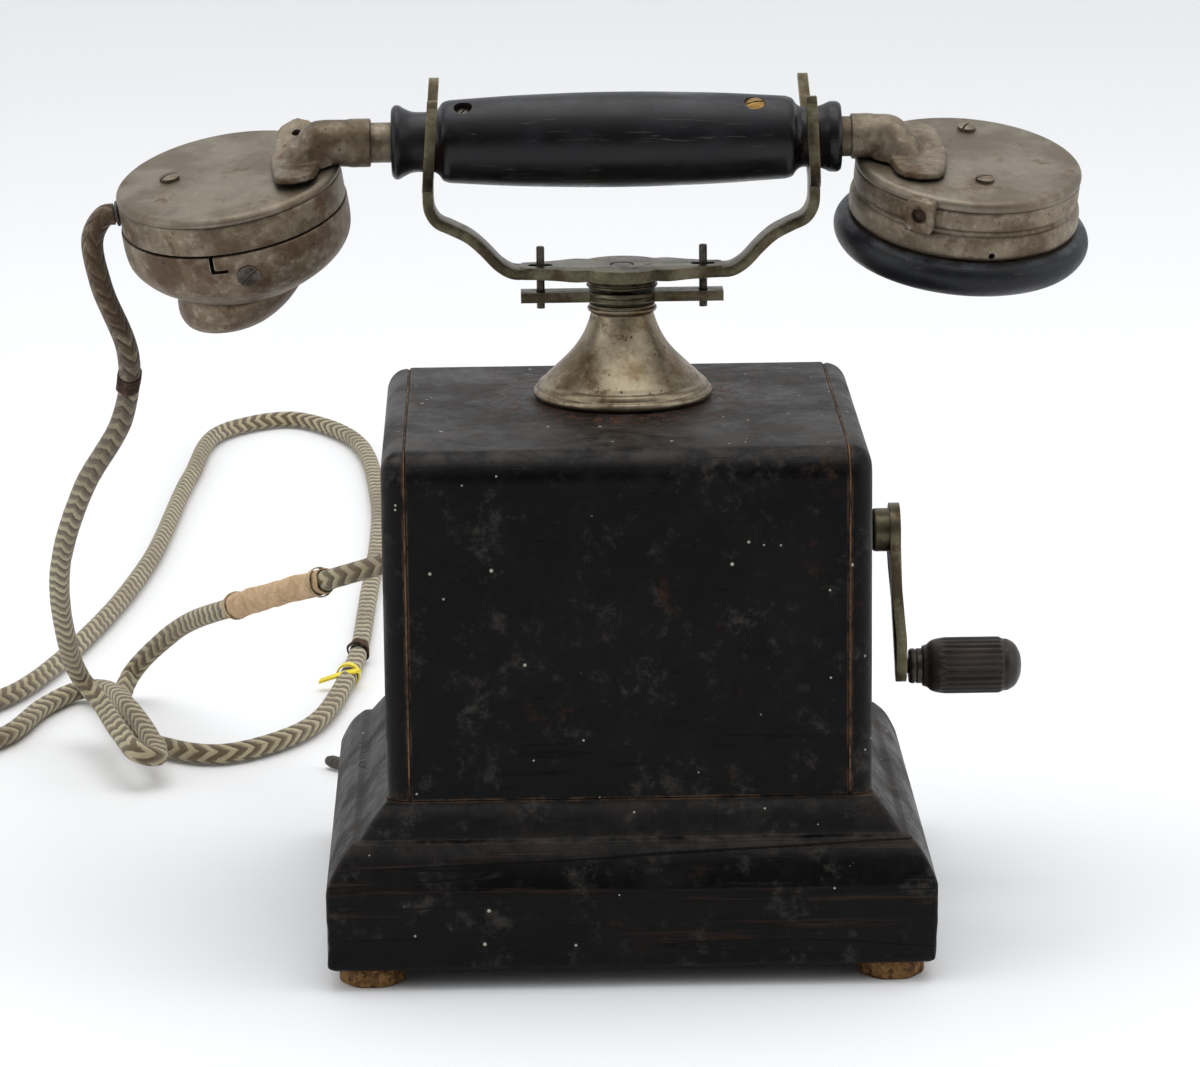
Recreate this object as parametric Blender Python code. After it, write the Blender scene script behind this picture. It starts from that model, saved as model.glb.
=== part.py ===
"""Desk magneto telephone: a wooden case with a crank, a cradle on a pillar, and a handset that rests in it.

Sizes are in millimetres; MM turns them into Blender's metres. +Z is up, +X is the crank side, +Y is the back,
and the origin is on the surface that it stands on, under the middle of its whole width.
"""

import math

import bmesh
import bpy
from mathutils import Matrix, Vector

MM = 0.001
GAP = 0.3  # between two pieces that touch
SHIFT_X = 3.0  # the base's middle, so that the handset's two ends reach equally far from the origin

# Base and case
BASE_W, BASE_D = 160.0, 144.0
BASE_BOTTOM, BASE_EDGE, BASE_TOP = 5.5, 27.0, 47.0
WELL_X, WELL_Y = 57.0, 49.0  # half sizes of the opening through the plinth
FOOT_R = 9.0
FOOT_X, FOOT_Y = 68.5, 60.5
CASE_W, CASE_D, CASE_TOP = 128.0, 112.0, 140.0
BOARD = 6.0
FRONT_R = 8.0  # round of the case's upper front edge
SHELF_Z = 56.0

# Pillar and cradle
PILLAR = Vector((0.8, 15.0))
ROD_R = 3.0
PIN_X, PIN_R, PIN_TOP = 22.0, 1.1, 181.6
GUIDE_Z = 166.2
YOKE_Z, YOKE_T = 173.0, 3.5
FORK_X, FORK_T = 51.2, 3.0

# Handset
HANDSET_Z = 210.5
HANDSET_TURN = 13.0  # degrees about its own length, as it lies in the forks
NECK_R = 8.05
TUBE_R = 5.4
TRANSMITTER_X, TRANSMITTER_DROP, TRANSMITTER_TILT = -105.2, 8.6, -8.0
RECEIVER_X, RECEIVER_DROP, RECEIVER_TILT = 94.8, 7.2, 4.4
MOUTH_SHIFT, MOUTH_LEAN = -1.8, 0.5

# Crank, magneto and ringer
CRANK_Z = 105.0
CRANK_RADIUS = 38.4
SHAFT_R = 3.0
GEAR_TEETH, PINION_TEETH, MODULE = 48, 12, 0.96
ARMATURE_Z = CRANK_Z - MODULE * (GEAR_TEETH + PINION_TEETH) / 2
ARMATURE_R = 12.4
MAGNET_OUT, MAGNET_IN, MAGNET_Z = 26.0, 19.0, 96.0
GONG_X, GONG_Y = 24.0, -24.0
RINGER_Y = 18.0

# Cords
CORD_D = 6.2
LEAD_D = 3.9
CORD_HOLE = Vector((-40.0, 56.0, 86.0))
LEAD_HOLE = Vector((-30.0, 15.0))  # x and z in the back of the plinth

COLOURS = {
    "black_wood": ((0.012, 0.011, 0.011), 0.45, 0.0),
    "cork": ((0.16, 0.085, 0.03), 0.9, 0.0),
    "nickel": ((0.30, 0.27, 0.20), 0.42, 0.9),
    "bronze": ((0.11, 0.10, 0.065), 0.45, 0.85),
    "capsule_brass": ((0.19, 0.16, 0.12), 0.5, 0.8),
    "ebonite": ((0.012, 0.012, 0.014), 0.35, 0.0),
    "knob_wood": ((0.035, 0.028, 0.022), 0.4, 0.0),
    "iron": ((0.10, 0.10, 0.11), 0.5, 0.9),
    "brass": ((0.45, 0.33, 0.14), 0.35, 0.9),
    "copper": ((0.40, 0.16, 0.06), 0.4, 0.8),
    "inner_wood": ((0.22, 0.13, 0.06), 0.7, 0.0),
    "cord_braid": ((0.32, 0.28, 0.20), 0.9, 0.0),
}


def clear_scene():
    for obj in list(bpy.data.objects):
        bpy.data.objects.remove(obj)


def material(name, kind):
    colour, roughness, metallic = COLOURS[kind]
    mat = bpy.data.materials.new(name)
    mat.use_nodes = True
    shader = mat.node_tree.nodes["Principled BSDF"]
    shader.inputs["Base Color"].default_value = (*colour, 1.0)
    shader.inputs["Roughness"].default_value = roughness
    shader.inputs["Metallic"].default_value = metallic
    return mat


def located(place, parent):
    shift = 0.0 if parent else SHIFT_X
    return (Vector(place) + Vector((shift, 0.0, 0.0))) * MM


def empty(name, place, turn=(0.0, 0.0, 0.0), parent=None):
    obj = bpy.data.objects.new(name, None)
    obj.location = located(place, parent)
    obj.rotation_euler = [math.radians(a) for a in turn]
    obj.parent = parent
    bpy.context.scene.collection.objects.link(obj)
    return obj


def add(name, bm, kind, parent=None, place=(0.0, 0.0, 0.0)):
    """Makes an object from a bmesh in millimetres, with its faces pointing out."""
    bmesh.ops.recalc_face_normals(bm, faces=bm.faces)
    bmesh.ops.scale(bm, vec=(MM, MM, MM), verts=bm.verts)
    mesh = bpy.data.meshes.new(name)
    bm.to_mesh(mesh)
    bm.free()
    mesh.shade_smooth()
    mesh.set_sharp_from_angle(angle=math.radians(35))
    obj = bpy.data.objects.new(name, mesh)
    obj.location = located(place, parent)
    obj.parent = parent
    bpy.context.scene.collection.objects.link(obj)
    if kind:
        obj.data.materials.append(material(name, kind))
    return obj


def loft(rings, closed=False):
    """Joins rings of equally many points: the last to the first if closed, otherwise with capped ends."""
    bm = bmesh.new()
    loops = [[bm.verts.new(p) for p in ring] for ring in rings]
    pairs = list(zip(loops, loops[1:] + loops[:1] if closed else loops[1:]))
    for a, b in pairs:
        for i in range(len(a)):
            j = (i + 1) % len(a)
            bm.faces.new((a[i], a[j], b[j], b[i]))
    if not closed:
        bm.faces.new(loops[0])
        bm.faces.new(list(reversed(loops[-1])))
    return bm


def turned(profile, axis="Z", sides=32):
    """A body turned from a closed outline of (radius, height) points about the origin along axis."""
    bm = bmesh.new()
    columns = []
    for i in range(sides):
        a = 2 * math.pi * i / sides
        column = []
        for n, (r, h) in enumerate(profile):
            if r < 1e-6 and i:
                column.append(columns[0][n])
            else:
                column.append(bm.verts.new(turned_point(r, h, a, axis)))
        columns.append(column)
    for i in range(sides):
        a, b = columns[i], columns[(i + 1) % sides]
        for n in range(len(profile)):
            m = (n + 1) % len(profile)
            corners = []
            for v in (a[n], a[m], b[m], b[n]):
                if v not in corners:
                    corners.append(v)
            if len(corners) > 2:
                bm.faces.new(corners)
    return bm


def turned_point(r, h, a, axis):
    u, v = r * math.cos(a), r * math.sin(a)
    return {"Z": (u, v, h), "X": (h, u, v), "Y": (v, h, u)}[axis]


def rod(radius, low, high, axis="Z", sides=24):
    return turned([(0, low), (radius, low), (radius, high), (0, high)], axis, sides)


def block(low, high):
    x0, y0, z0 = low
    x1, y1, z1 = high
    ring = lambda z: [(x0, y0, z), (x1, y0, z), (x1, y1, z), (x0, y1, z)]
    return loft([ring(z0), ring(z1)])


def prism(outline, low, high, axis):
    """Extrudes an outline from low to high along axis. Outline points are (y, z), (x, z) or (x, y)."""
    put = {
        "X": lambda u, v, h: (h, u, v),
        "Y": lambda u, v, h: (u, h, v),
        "Z": lambda u, v, h: (u, v, h),
    }[axis]
    return loft([[put(u, v, h) for u, v in outline] for h in (low, high)])


def arc(cx, cy, r, start, end, steps):
    turn = [math.radians(start + (end - start) * i / steps) for i in range(steps + 1)]
    return [(cx + r * math.cos(a), cy + r * math.sin(a)) for a in turn]


def boolean(target, bm, operation, name):
    """Cuts or joins a shape given in the target's own axes; the tool object stays as a hidden guide."""
    tool = add(name, bm, None, target)
    tool.hide_render = True
    tool.display_type = "WIRE"
    modifier = target.modifiers.new(name, "BOOLEAN")
    modifier.operation = operation
    modifier.object = tool


def cut(target, bm, name="cutter"):
    boolean(target, bm, "DIFFERENCE", f"{target.name}_{name}")


def join(target, bm, name="joined"):
    boolean(target, bm, "UNION", f"{target.name}_{name}")


# ---------------------------------------------------------------- base and case


def build_base():
    # The moulding's own profile: how far in from the edge, and how high
    moulding = [(1.0, 5.5), (0.0, 6.8), (0.0, 27.0), (1.2, 30.4), (3.4, 34.6), (6.4, 37.9), (8.8, 38.5),
                (10.6, 40.8), (13.0, 44.2), (15.4, 46.2), (15.6, BASE_TOP)]
    rings = [rectangle(BASE_W / 2 - s, BASE_D / 2 - s, z) for s, z in moulding]
    rings += [rectangle(WELL_X, WELL_Y, BASE_TOP), rectangle(WELL_X, WELL_Y, BASE_BOTTOM)]
    plinth = add("base_plinth", loft(rings, closed=True), "black_wood")
    bore = rod(2.6, WELL_Y - 2, BASE_D / 2 + 2, "Y", 16)
    bmesh.ops.translate(bore, vec=(LEAD_HOLE.x, 0, LEAD_HOLE.y), verts=bore.verts)
    cut(plinth, bore, "lead_bore")
    corner = (WELL_X - 0.5, WELL_Y - 0.5, 12.5)
    add("bottom_board", block((-corner[0], -corner[1], 6.5), corner), "inner_wood")
    foot = [(0, 0), (FOOT_R - 0.8, 0), (FOOT_R, 0.8), (FOOT_R, BASE_BOTTOM - GAP), (0, BASE_BOTTOM - GAP)]
    corners = (("front_left", -1, -1), ("front_right", 1, -1), ("rear_left", -1, 1), ("rear_right", 1, 1))
    for name, x, y in corners:
        add(f"cork_foot_{name}", turned(foot, "Z", 20), "cork", place=(x * FOOT_X, y * FOOT_Y, 0))


def rectangle(half_x, half_y, z):
    return [(-half_x, -half_y, z), (half_x, -half_y, z), (half_x, half_y, z), (-half_x, half_y, z)]


def side_outline(inset):
    """The case's side seen along X, drawn in by inset at the front, top and back."""
    front, back = -CASE_D / 2 + inset, CASE_D / 2 - inset
    top, bottom = CASE_TOP - inset, BASE_TOP + GAP
    r = max(FRONT_R - inset, 2.0)
    outline = [(back, bottom), *arc(back - 2, top - 2, 2.0, 0, 90, 2)]
    outline += arc(front + r, top - r, r, 90, 180, 6) + [(front, bottom)]
    return outline


def build_case():
    inner = CASE_W / 2 - BOARD
    round_over = [(0.0, 0.0), (2.4, 0.0), (4.0, 0.6), (5.2, 1.9), (5.8, 3.6), (6.0, 5.4)]  # outwards, inset
    for name, side in (("left", -1), ("right", 1)):
        rings = [[(side * (inner + out), y, z) for y, z in side_outline(inset)] for out, inset in round_over]
        board = add(f"case_side_{name}", loft(rings), "black_wood")
        if side > 0:
            bore = rod(7.0, inner - 2, CASE_W / 2 + 2, "X", 24)
            bmesh.ops.translate(bore, vec=(0, 0, CRANK_Z), verts=bore.verts)
            cut(board, bore, "crank_bore")
    front, back, bottom = -CASE_D / 2, CASE_D / 2, BASE_TOP + GAP
    wrap = [(front, bottom), *arc(front + FRONT_R, CASE_TOP - FRONT_R, FRONT_R, 180, 90, 6), (back, CASE_TOP),
            (back, CASE_TOP - BOARD), *arc(front + FRONT_R, CASE_TOP - FRONT_R, FRONT_R - BOARD, 90, 180, 3),
            (front + BOARD, bottom)]
    half = inner - GAP / 2
    cover = add("case_front_top", prism(wrap, -half, half, "X"), "black_wood")
    bore = rod(5.0, CASE_TOP - BOARD - 2, CASE_TOP + 2, "Z", 20)
    bmesh.ops.translate(bore, vec=(PILLAR.x, PILLAR.y, 0), verts=bore.verts)
    cut(cover, bore, "rod_bore")
    panel = block((-half, back - BOARD, bottom), (half, back, CASE_TOP - BOARD - GAP))
    panel = add("case_back", panel, "black_wood")
    bore = rod(5.3, back - BOARD - 2, back + 2, "Y", 20)
    bmesh.ops.translate(bore, vec=(CORD_HOLE.x, 0, CORD_HOLE.z), verts=bore.verts)
    cut(panel, bore, "cord_bore")
    corner = (half - 0.3, back - BOARD - 0.5, SHELF_Z + 5.5)
    add("inner_shelf", block((-corner[0], -corner[1], SHELF_Z), corner), "inner_wood")
    bush = [(3.4, 57.0), (6.7, 57.0), (6.7, 64.3), (8.6, 64.3), (8.6, 66.6), (8.0, 67.2), (3.4, 67.2)]
    add("crank_bush", turned(bush, "X", 20), "brass", place=(0, 0, CRANK_Z))
    gland = [(3.5, 51.5), (5.0, 51.5), (5.0, 56.3), (7.2, 56.3), (7.2, 57.6), (5.4, 60.4), (3.5, 60.4)]
    add("cord_gland", turned(gland, "Y", 20), "ebonite", place=(CORD_HOLE.x, 0, CORD_HOLE.z))


# ---------------------------------------------------------------- pillar and cradle


def build_pillar():
    px, py = PILLAR
    profile = [(20.0, 140.3), (23.9, 140.3), (24.5, 141.2), (24.4, 142.6), (22.6, 144.2), (21.2, 146.2),
               (17.6, 149.4), (14.6, 152.0), (12.3, 154.6), (10.4, 157.6), (9.0, 160.8), (8.1, 163.6),
               (9.0, 165.0), (9.0, 165.9), (3.4, 165.9), (3.4, 158.5), (12.0, 149.6), (18.0, 144.0)]
    add("pillar_bell", turned(profile, "Z", 28), "nickel", place=(px, py, 0))
    collar = [(3.4, GUIDE_Z), (8.9, GUIDE_Z), (9.6, GUIDE_Z + 0.7), (9.6, GUIDE_Z + 2.7),
              (8.9, GUIDE_Z + 3.4), (3.4, GUIDE_Z + 3.4)]
    bar = add("guide_bar", turned(collar, "Z", 20), "bronze", place=(px, py, 0))
    outer, inner = 27.4, 8.0
    for side in (-1, 1):
        ends = sorted((side * inner, side * outer))
        join(bar, block((ends[0], -3.4, GUIDE_Z + 0.4), (ends[1], 3.4, GUIDE_Z + 3.1)), f"arm_{side + 1}")
        hole = rod(PIN_R + GAP, GUIDE_Z - 2, GUIDE_Z + 6, "Z", 12)
        bmesh.ops.translate(hole, vec=(side * PIN_X, 0, 0), verts=hole.verts)
        cut(bar, hole, f"pin_hole_{side + 1}")
    pin = [(0, 164.6), (PIN_R, 164.6), (PIN_R, PIN_TOP - 0.6), (PIN_R - 0.5, PIN_TOP), (0, PIN_TOP)]
    add("guide_pin_left", turned(pin, "Z", 12), "bronze", place=(px - PIN_X, py, 0))
    add("guide_pin_right", turned(pin, "Z", 12), "bronze", place=(px + PIN_X, py, 0))


def strip(path, thickness):
    """The outline of a flat strip seen edge on, along a path of (x, z) points."""
    sides = ([], [])
    for i, p in enumerate(path):
        before, after = Vector(path[max(i - 1, 0)]), Vector(path[min(i + 1, len(path) - 1)])
        along = (after - before).normalized()
        across = Vector((-along.y, along.x)) * thickness / 2
        sides[0].append(tuple(Vector(p) + across))
        sides[1].append(tuple(Vector(p) - across))
    return sides[0] + sides[1][::-1]


def build_cradle():
    px, py = PILLAR
    bar = [(-27, -4.5), (-25, -7), (-18, -7.5), (-12, -8.5), *arc(0, 0, 11, 232, 308, 5), (12, -8.5),
           (18, -7.5), (25, -7), (27, -4.5)]
    bar += [(-x, -y) for x, y in bar]
    yoke = add("cradle_yoke", prism(bar, YOKE_Z, YOKE_Z + YOKE_T, "Z"), "bronze", place=(px, py, 0))
    join(yoke, rod(9.7, YOKE_Z - 2.7, YOKE_Z + 0.5, "Z", 24), "collar")
    arm = [(-24.5, 174.75), (-28.5, 174.3), (-32.0, 176.0), (-40.5, 182.4), (-46.6, 187.4), (-50.0, 191.6),
           (-51.2, 196.0), (-51.2, 203.0 - 2.0)]
    half = [(0, -8.7), (3.6, -7.9), (6.6, -5.8), (8.6, -2.8), (9.6, 0.6), (12.4, 5.8), (18.6, 14.0),
            (21.0, 14.2), (22.4, 12.8), (17.6, 4.4), (14.0, -3.4), (10.4, -9.4), (5.2, -13.4)]
    fork = [(y, HANDSET_Z + z) for y, z in half] + [(-y, HANDSET_Z + z) for y, z in reversed(half[1:])]
    for side in (-1, 1):
        outline = strip([(-side * x, z) for x, z in arm], FORK_T)
        join(yoke, prism(outline, -4.6, 4.6, "Y"), f"arm_{side + 1}")
        x = side * FORK_X
        join(yoke, prism(fork, x - FORK_T / 2, x + FORK_T / 2, "X"), f"fork_{side + 1}")
        ends = arc(1.6, 0, 1.6, -90, 90, 6) + arc(-1.6, 0, 1.6, 90, 270, 6)
        slot = [(side * PIN_X + dx, dy) for dx, dy in ends]
        cut(yoke, prism(slot, YOKE_Z - 2, YOKE_Z + 6, "Z"), f"slot_{side + 1}")
    cut(yoke, rod(ROD_R + GAP, YOKE_Z - 6, YOKE_Z + 6, "Z", 20), "rod_bore")
    top = YOKE_Z + YOKE_T
    add("plunger_rod", rod(ROD_R, 125.6, top, "Z", 20), "iron", place=(px, py, 0))


# ---------------------------------------------------------------- crank and magneto


def gear_outline(teeth, addendum, dedendum, tip, flank):
    """Straight-sided teeth: tip and flank are half widths at tip and root, as shares of the pitch."""
    pitch_r = MODULE * teeth / 2
    step = 2 * math.pi / teeth
    outline = []
    for i in range(teeth):
        for share, r in ((-flank, -dedendum), (-tip, addendum), (tip, addendum), (flank, -dedendum)):
            a = step * (i + share)
            outline.append(((pitch_r + r) * math.cos(a), (pitch_r + r) * math.sin(a)))
    return outline


def build_crank():
    axis = empty("crank_axis", (0, 0, CRANK_Z))
    add("crank_shaft", rod(SHAFT_R, -36.5, 74.8, "X", 24), "iron", axis)
    teeth = gear_outline(GEAR_TEETH, 0.8, 1.15, 0.10, 0.24)
    gear = add("main_gear", prism(teeth, 17.0, 23.0, "X"), "brass", axis)
    cut(gear, rod(SHAFT_R + GAP, 15, 25, "X", 20), "shaft_bore")
    # The arm: a tapered flat bar that leans outwards on its way to the knob
    steps = 6
    edge = [(7.4 + (4.4 - 7.4) * i / steps, -CRANK_RADIUS * i / steps) for i in range(steps + 1)]
    outline = edge + arc(0, -CRANK_RADIUS, 4.4, -20, -160, 6) + [(-y, z) for y, z in reversed(edge)]
    outline += arc(0, 0, 7.4, 160, 20, 8)
    lean = lambda z: 2.0 * min(max((-z - 8.0) / 22.0, 0.0), 1.0)
    rings = [[(x + lean(z), y, z) for y, z in outline] for x in (72.2, 75.0)]
    arm = add("crank_arm", loft(rings), "bronze", axis)
    join(arm, rod(5.9, 67.6, 73.0, "X", 24), "hub")
    cut(arm, rod(SHAFT_R + GAP, 66, 78, "X", 24), "shaft_bore")
    knob_axis = empty("knob_axis", (0, 0, -CRANK_RADIUS), parent=axis)
    add("knob_pin", rod(2.0, 77.3, 101.0, "X", 16), "iron", knob_axis)
    knob = [(2.3, 77.7), (4.3, 77.7), (4.7, 78.1), (4.7, 81.2), (5.6, 81.5), (5.6, 82.4), (7.0, 84.0),
            (7.6, 86.5), (7.7, 94.0), (7.2, 102.5), (5.6, 106.4), (3.2, 108.0), (0, 108.6), (0, 101.6),
            (2.3, 101.6)]
    add("crank_knob", turned(knob, "X", 20), "knob_wood", knob_axis)


def build_magneto():
    low, high = -34.0, 15.0  # outer faces of the two end plates
    for name, x in (("left", low), ("right", high - 3.0)):
        plate = add(f"magneto_plate_{name}", block((x, -24, 62.0), (x + 3.0, 24, 112.0)), "brass")
        for label, z, r in (("crank", CRANK_Z, SHAFT_R), ("armature", ARMATURE_Z, 2.5)):
            bore = rod(r + GAP, x - 2, x + 5, "X", 20)
            bmesh.ops.translate(bore, vec=(0, 0, z), verts=bore.verts)
            cut(plate, bore, f"{label}_bore")
    width = 20.9
    horseshoe = [(MAGNET_OUT, 62.0), *arc(0, MAGNET_Z, MAGNET_OUT, 0, 180, 12), (-MAGNET_OUT, 62.0),
                 (-MAGNET_IN, 62.0), *arc(0, MAGNET_Z, MAGNET_IN, 180, 0, 12), (MAGNET_IN, 62.0)]
    for i, name in enumerate(("left", "right")):
        x = -30.7 + i * (width + GAP)
        add(f"horseshoe_magnet_{name}", prism(horseshoe, x, x + width, "X"), "iron")
    for name, side in (("front", -1), ("rear", 1)):
        ends = sorted((side * 4.0, side * (MAGNET_IN - GAP)))
        pole = add(f"pole_piece_{name}", block((-30.7, ends[0], 62.0), (11.6, ends[1], 90.0)), "iron")
        bore = rod(ARMATURE_R + 0.7, -32, 13, "X", 24)
        bmesh.ops.translate(bore, vec=(0, 0, ARMATURE_Z), verts=bore.verts)
        cut(pole, bore, "armature_bore")
    axis = empty("armature_axis", (0, 0, ARMATURE_Z))
    core = [(0, -33.6), (2.5, -33.6), (2.5, -28.0), (ARMATURE_R, -28.0), (ARMATURE_R, 9.0), (2.5, 9.0),
            (2.5, 24.6), (0, 24.6)]
    armature = add("armature", turned(core, "X", 20), "iron", axis)
    for side in (-1, 1):
        ends = sorted((side * 5.6, side * 15.0))
        cut(armature, block((-25, -5.2, ends[0]), (6, 5.2, ends[1])), f"winding_slot_{side + 1}")
    # Half a tooth of turn puts a gap of the pinion under a tooth of the main gear
    teeth = gear_outline(PINION_TEETH, 0.8, 1.15, 0.09, 0.22)
    pinion = add("pinion", prism(teeth, 16.6, 23.4, "X"), "brass", axis)
    pinion.rotation_euler = (math.pi / PINION_TEETH, 0, 0)
    cut(pinion, rod(2.8, 15, 25, "X", 16), "shaft_bore")


def build_electrics():
    coil = [(0, -30), (10, -30), (10, -28), (8, -28), (8, 28), (10, 28), (10, 30), (0, 30)]
    add("induction_coil", turned(coil, "Y", 20), "copper", place=(-46, 0, 72.2))
    strip_body = add("terminal_strip", block((29, 34, 61.9), (56, 47, 68.5)), "ebonite")
    for i in range(4):
        post = rod(2.2, 66.0, 72.5, "Z", 12)
        bmesh.ops.translate(post, vec=(33.0 + 6.4 * i, 40.5, 0), verts=post.verts)
        join(strip_body, post, f"post_{i}")
    px, py = PILLAR
    add("contact_block", block((-50, py - 7, 118.0), (-38, py + 7, 133.4)), "ebonite")
    add("contact_spring", block((-37.7, py - 4, 124.5), (px + 5, py + 4, 125.1)), "brass")


def build_ringer():
    gong = [(0, 12.8), (6.0, 12.8), (6.0, 14.5), (2.6, 15.5), (2.6, 34.0), (13.5, 34.0), (16.2, 31.0),
            (16.2, 26.5), (17.6, 26.5), (17.6, 31.8), (14.2, 35.6), (0, 36.6)]
    for name, side in (("left", -1), ("right", 1)):
        add(f"gong_{name}", turned(gong, "Z", 20), "brass", place=(side * GONG_X, GONG_Y, 0))
    frame = add("ringer_frame", block((-24, RINGER_Y - 9, 12.8), (24, RINGER_Y + 9, 16.0)), "iron")
    post = rod(1.8, 14.0, 45.0, "Z", 16)
    bmesh.ops.translate(post, vec=(0, RINGER_Y, 0), verts=post.verts)
    join(frame, post, "pivot")
    bobbin = [(0, 16.3), (8.6, 16.3), (8.6, 17.6), (7.6, 17.6), (7.6, 35.0), (8.6, 35.0), (8.6, 36.2),
              (0, 37.2)]
    for name, side in (("left", -1), ("right", 1)):
        add(f"ringer_coil_{name}", turned(bobbin, "Z", 16), "copper", place=(side * 13.0, RINGER_Y, 0))
    axis = empty("clapper_axis", (0, RINGER_Y, 0))
    clapper = add("clapper", block((-20, -3.5, 38.4), (20, 3.5, 40.8)), "iron", axis)
    reach = RINGER_Y - GONG_Y
    join(clapper, block((-0.8, -reach + 8, 38.8), (0.8, -2.0, 40.4)), "wire")
    ball = [(0, 28.6), (1.8, 29.2), (2.6, 31.0), (1.8, 32.8), (1.2, 33.4), (1.2, 40.2), (0, 40.2)]
    knocker = turned(ball, "Z", 16)
    bmesh.ops.translate(knocker, vec=(0, -reach + 8.5, 0), verts=knocker.verts)
    join(clapper, knocker, "ball")
    cut(clapper, rod(2.2, 36, 43, "Z", 16), "pivot_bore")


# ---------------------------------------------------------------- handset


def build_handset():
    axis = empty("handset_axis", (0, PILLAR.y, HANDSET_Z), (HANDSET_TURN, 0, 0))
    bore = TUBE_R + GAP
    grip = [(bore, -60.8), (9.2, -60.8), (10.0, -59.9), (10.0, -58.6), (8.6, -57.0), (NECK_R, -56.0),
            (NECK_R, -48.6), (10.4, -47.0), (11.0, -45.6), (12.2, -28.0), (12.8, -8.0), (12.8, 8.0),
            (12.2, 28.0), (11.0, 45.6), (10.4, 47.0), (NECK_R, 48.6), (NECK_R, 54.2), (9.5, 57.0),
            (9.5, 59.2), (8.8, 60.0), (bore, 60.0)]
    add("grip", turned(grip, "X", 24), "ebonite", axis)
    tube = [(3.9, -73.6), (TUBE_R, -73.6), (TUBE_R, 63.6), (3.9, 63.6)]
    add("handle_tube", turned(tube, "X", 16), "capsule_brass", axis)
    transmitter_axis = build_transmitter(axis)
    receiver_axis = build_receiver(axis)
    build_elbow("elbow_transmitter", axis, transmitter_axis, -1, 66.0, 79.0, 6.4, 84.0, -5.2)
    build_elbow("elbow_receiver", axis, receiver_axis, 1, 62.4, 71.5, 6.05, 80.0, -5.7)


def build_elbow(name, axis, capsule, side, start, bend, radius, saddle_x, saddle_z):
    """A socket on the handle tube, a bend, and a saddle with two lugs on the capsule's tilted back."""
    socket = [(TUBE_R + GAP, start), (radius, start), (radius, bend), (radius * 0.8, bend + radius * 0.6),
              (0, bend + radius), (0, bend - 4.6), (TUBE_R + GAP, bend - 4.6)]
    elbow = add(name, turned([(r, side * x) for r, x in socket], "X", 16), "capsule_brass", axis)
    top = saddle_z + 2.2
    foot = saddle_z + 0.2
    stem = turned([(0, foot), (6.8, foot), (6.2, top + 0.6), (4.6, 0.6), (0, 0.6)], "Z", 16)
    bmesh.ops.translate(stem, vec=(side * (bend + 2.6), 0, 0), verts=stem.verts)
    reach, lug = 13.0, 5.4
    outline = arc(0, reach, lug, 0, 180, 8) + arc(0, -reach, lug, 180, 360, 8)
    saddle = prism([(side * saddle_x + x, y) for x, y in outline], saddle_z, top, "Z")
    pivot = Vector((side * saddle_x, 0, saddle_z))
    for bm in (stem, saddle):
        bmesh.ops.rotate(bm, cent=pivot, matrix=capsule.rotation_euler.to_matrix(), verts=bm.verts)
    join(elbow, stem, "stem")
    join(elbow, saddle, "saddle")
    # The foot stays clear of the capsule
    room = rod(31.2, -30.0, GAP, "Z", 32)
    place = Matrix.Translation(capsule.location / MM) @ capsule.rotation_euler.to_matrix().to_4x4()
    bmesh.ops.transform(room, matrix=place, verts=room.verts)
    cut(elbow, room, "capsule_room")


def build_transmitter(handset_axis):
    place = (TRANSMITTER_X, 0, -TRANSMITTER_DROP)
    axis = empty("transmitter_axis", place, (0, TRANSMITTER_TILT, 0), handset_axis)
    shell = [(0, 0), (29.7, 0), (30.6, -0.9), (30.6, -10.3), (29.0, -10.3), (29.0, -1.6), (0, -1.6)]
    add("transmitter_shell", turned(shell, "Z", 28), "capsule_brass", axis)
    cover = [(31.1, -10.7), (31.2, -17.0), (30.2, -20.8), (26.8, -25.2), (21.5, -28.8), (16.4, -31.6),
             (10.0, -31.6), (10.0, -30.0), (16.0, -29.8), (25.7, -23.9), (29.0, -19.0), (29.6, -10.7)]
    add("transmitter_cover", turned(cover, "Z", 28), "capsule_brass", axis)
    mouth = [(17.2, -31.9), (16.8, -34.0), (15.2, -37.6), (12.6, -40.4), (10.8, -41.4), (9.8, -41.2),
             (8.0, -38.0), (5.4, -34.0), (5.0, -31.9)]
    funnel = turned(mouth, "Z", 24)
    for v in funnel.verts:
        v.co.x += MOUTH_LEAN * (v.co.z + 31.9)
    add("mouthpiece", funnel, "capsule_brass", axis, (MOUTH_SHIFT, 0, 0))
    add("carbon_capsule", rod(20.0, -20.0, -4.0, "Z", 24), "iron", axis)
    bush = [(2.2, -31.6), (3.2, -31.6), (3.5, -31.4), (3.5, -30.95), (2.2, -30.95)]
    add("transmitter_gland", turned(bush, "X", 16), "ebonite", axis, (0, 0, -6.7))
    return axis


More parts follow.
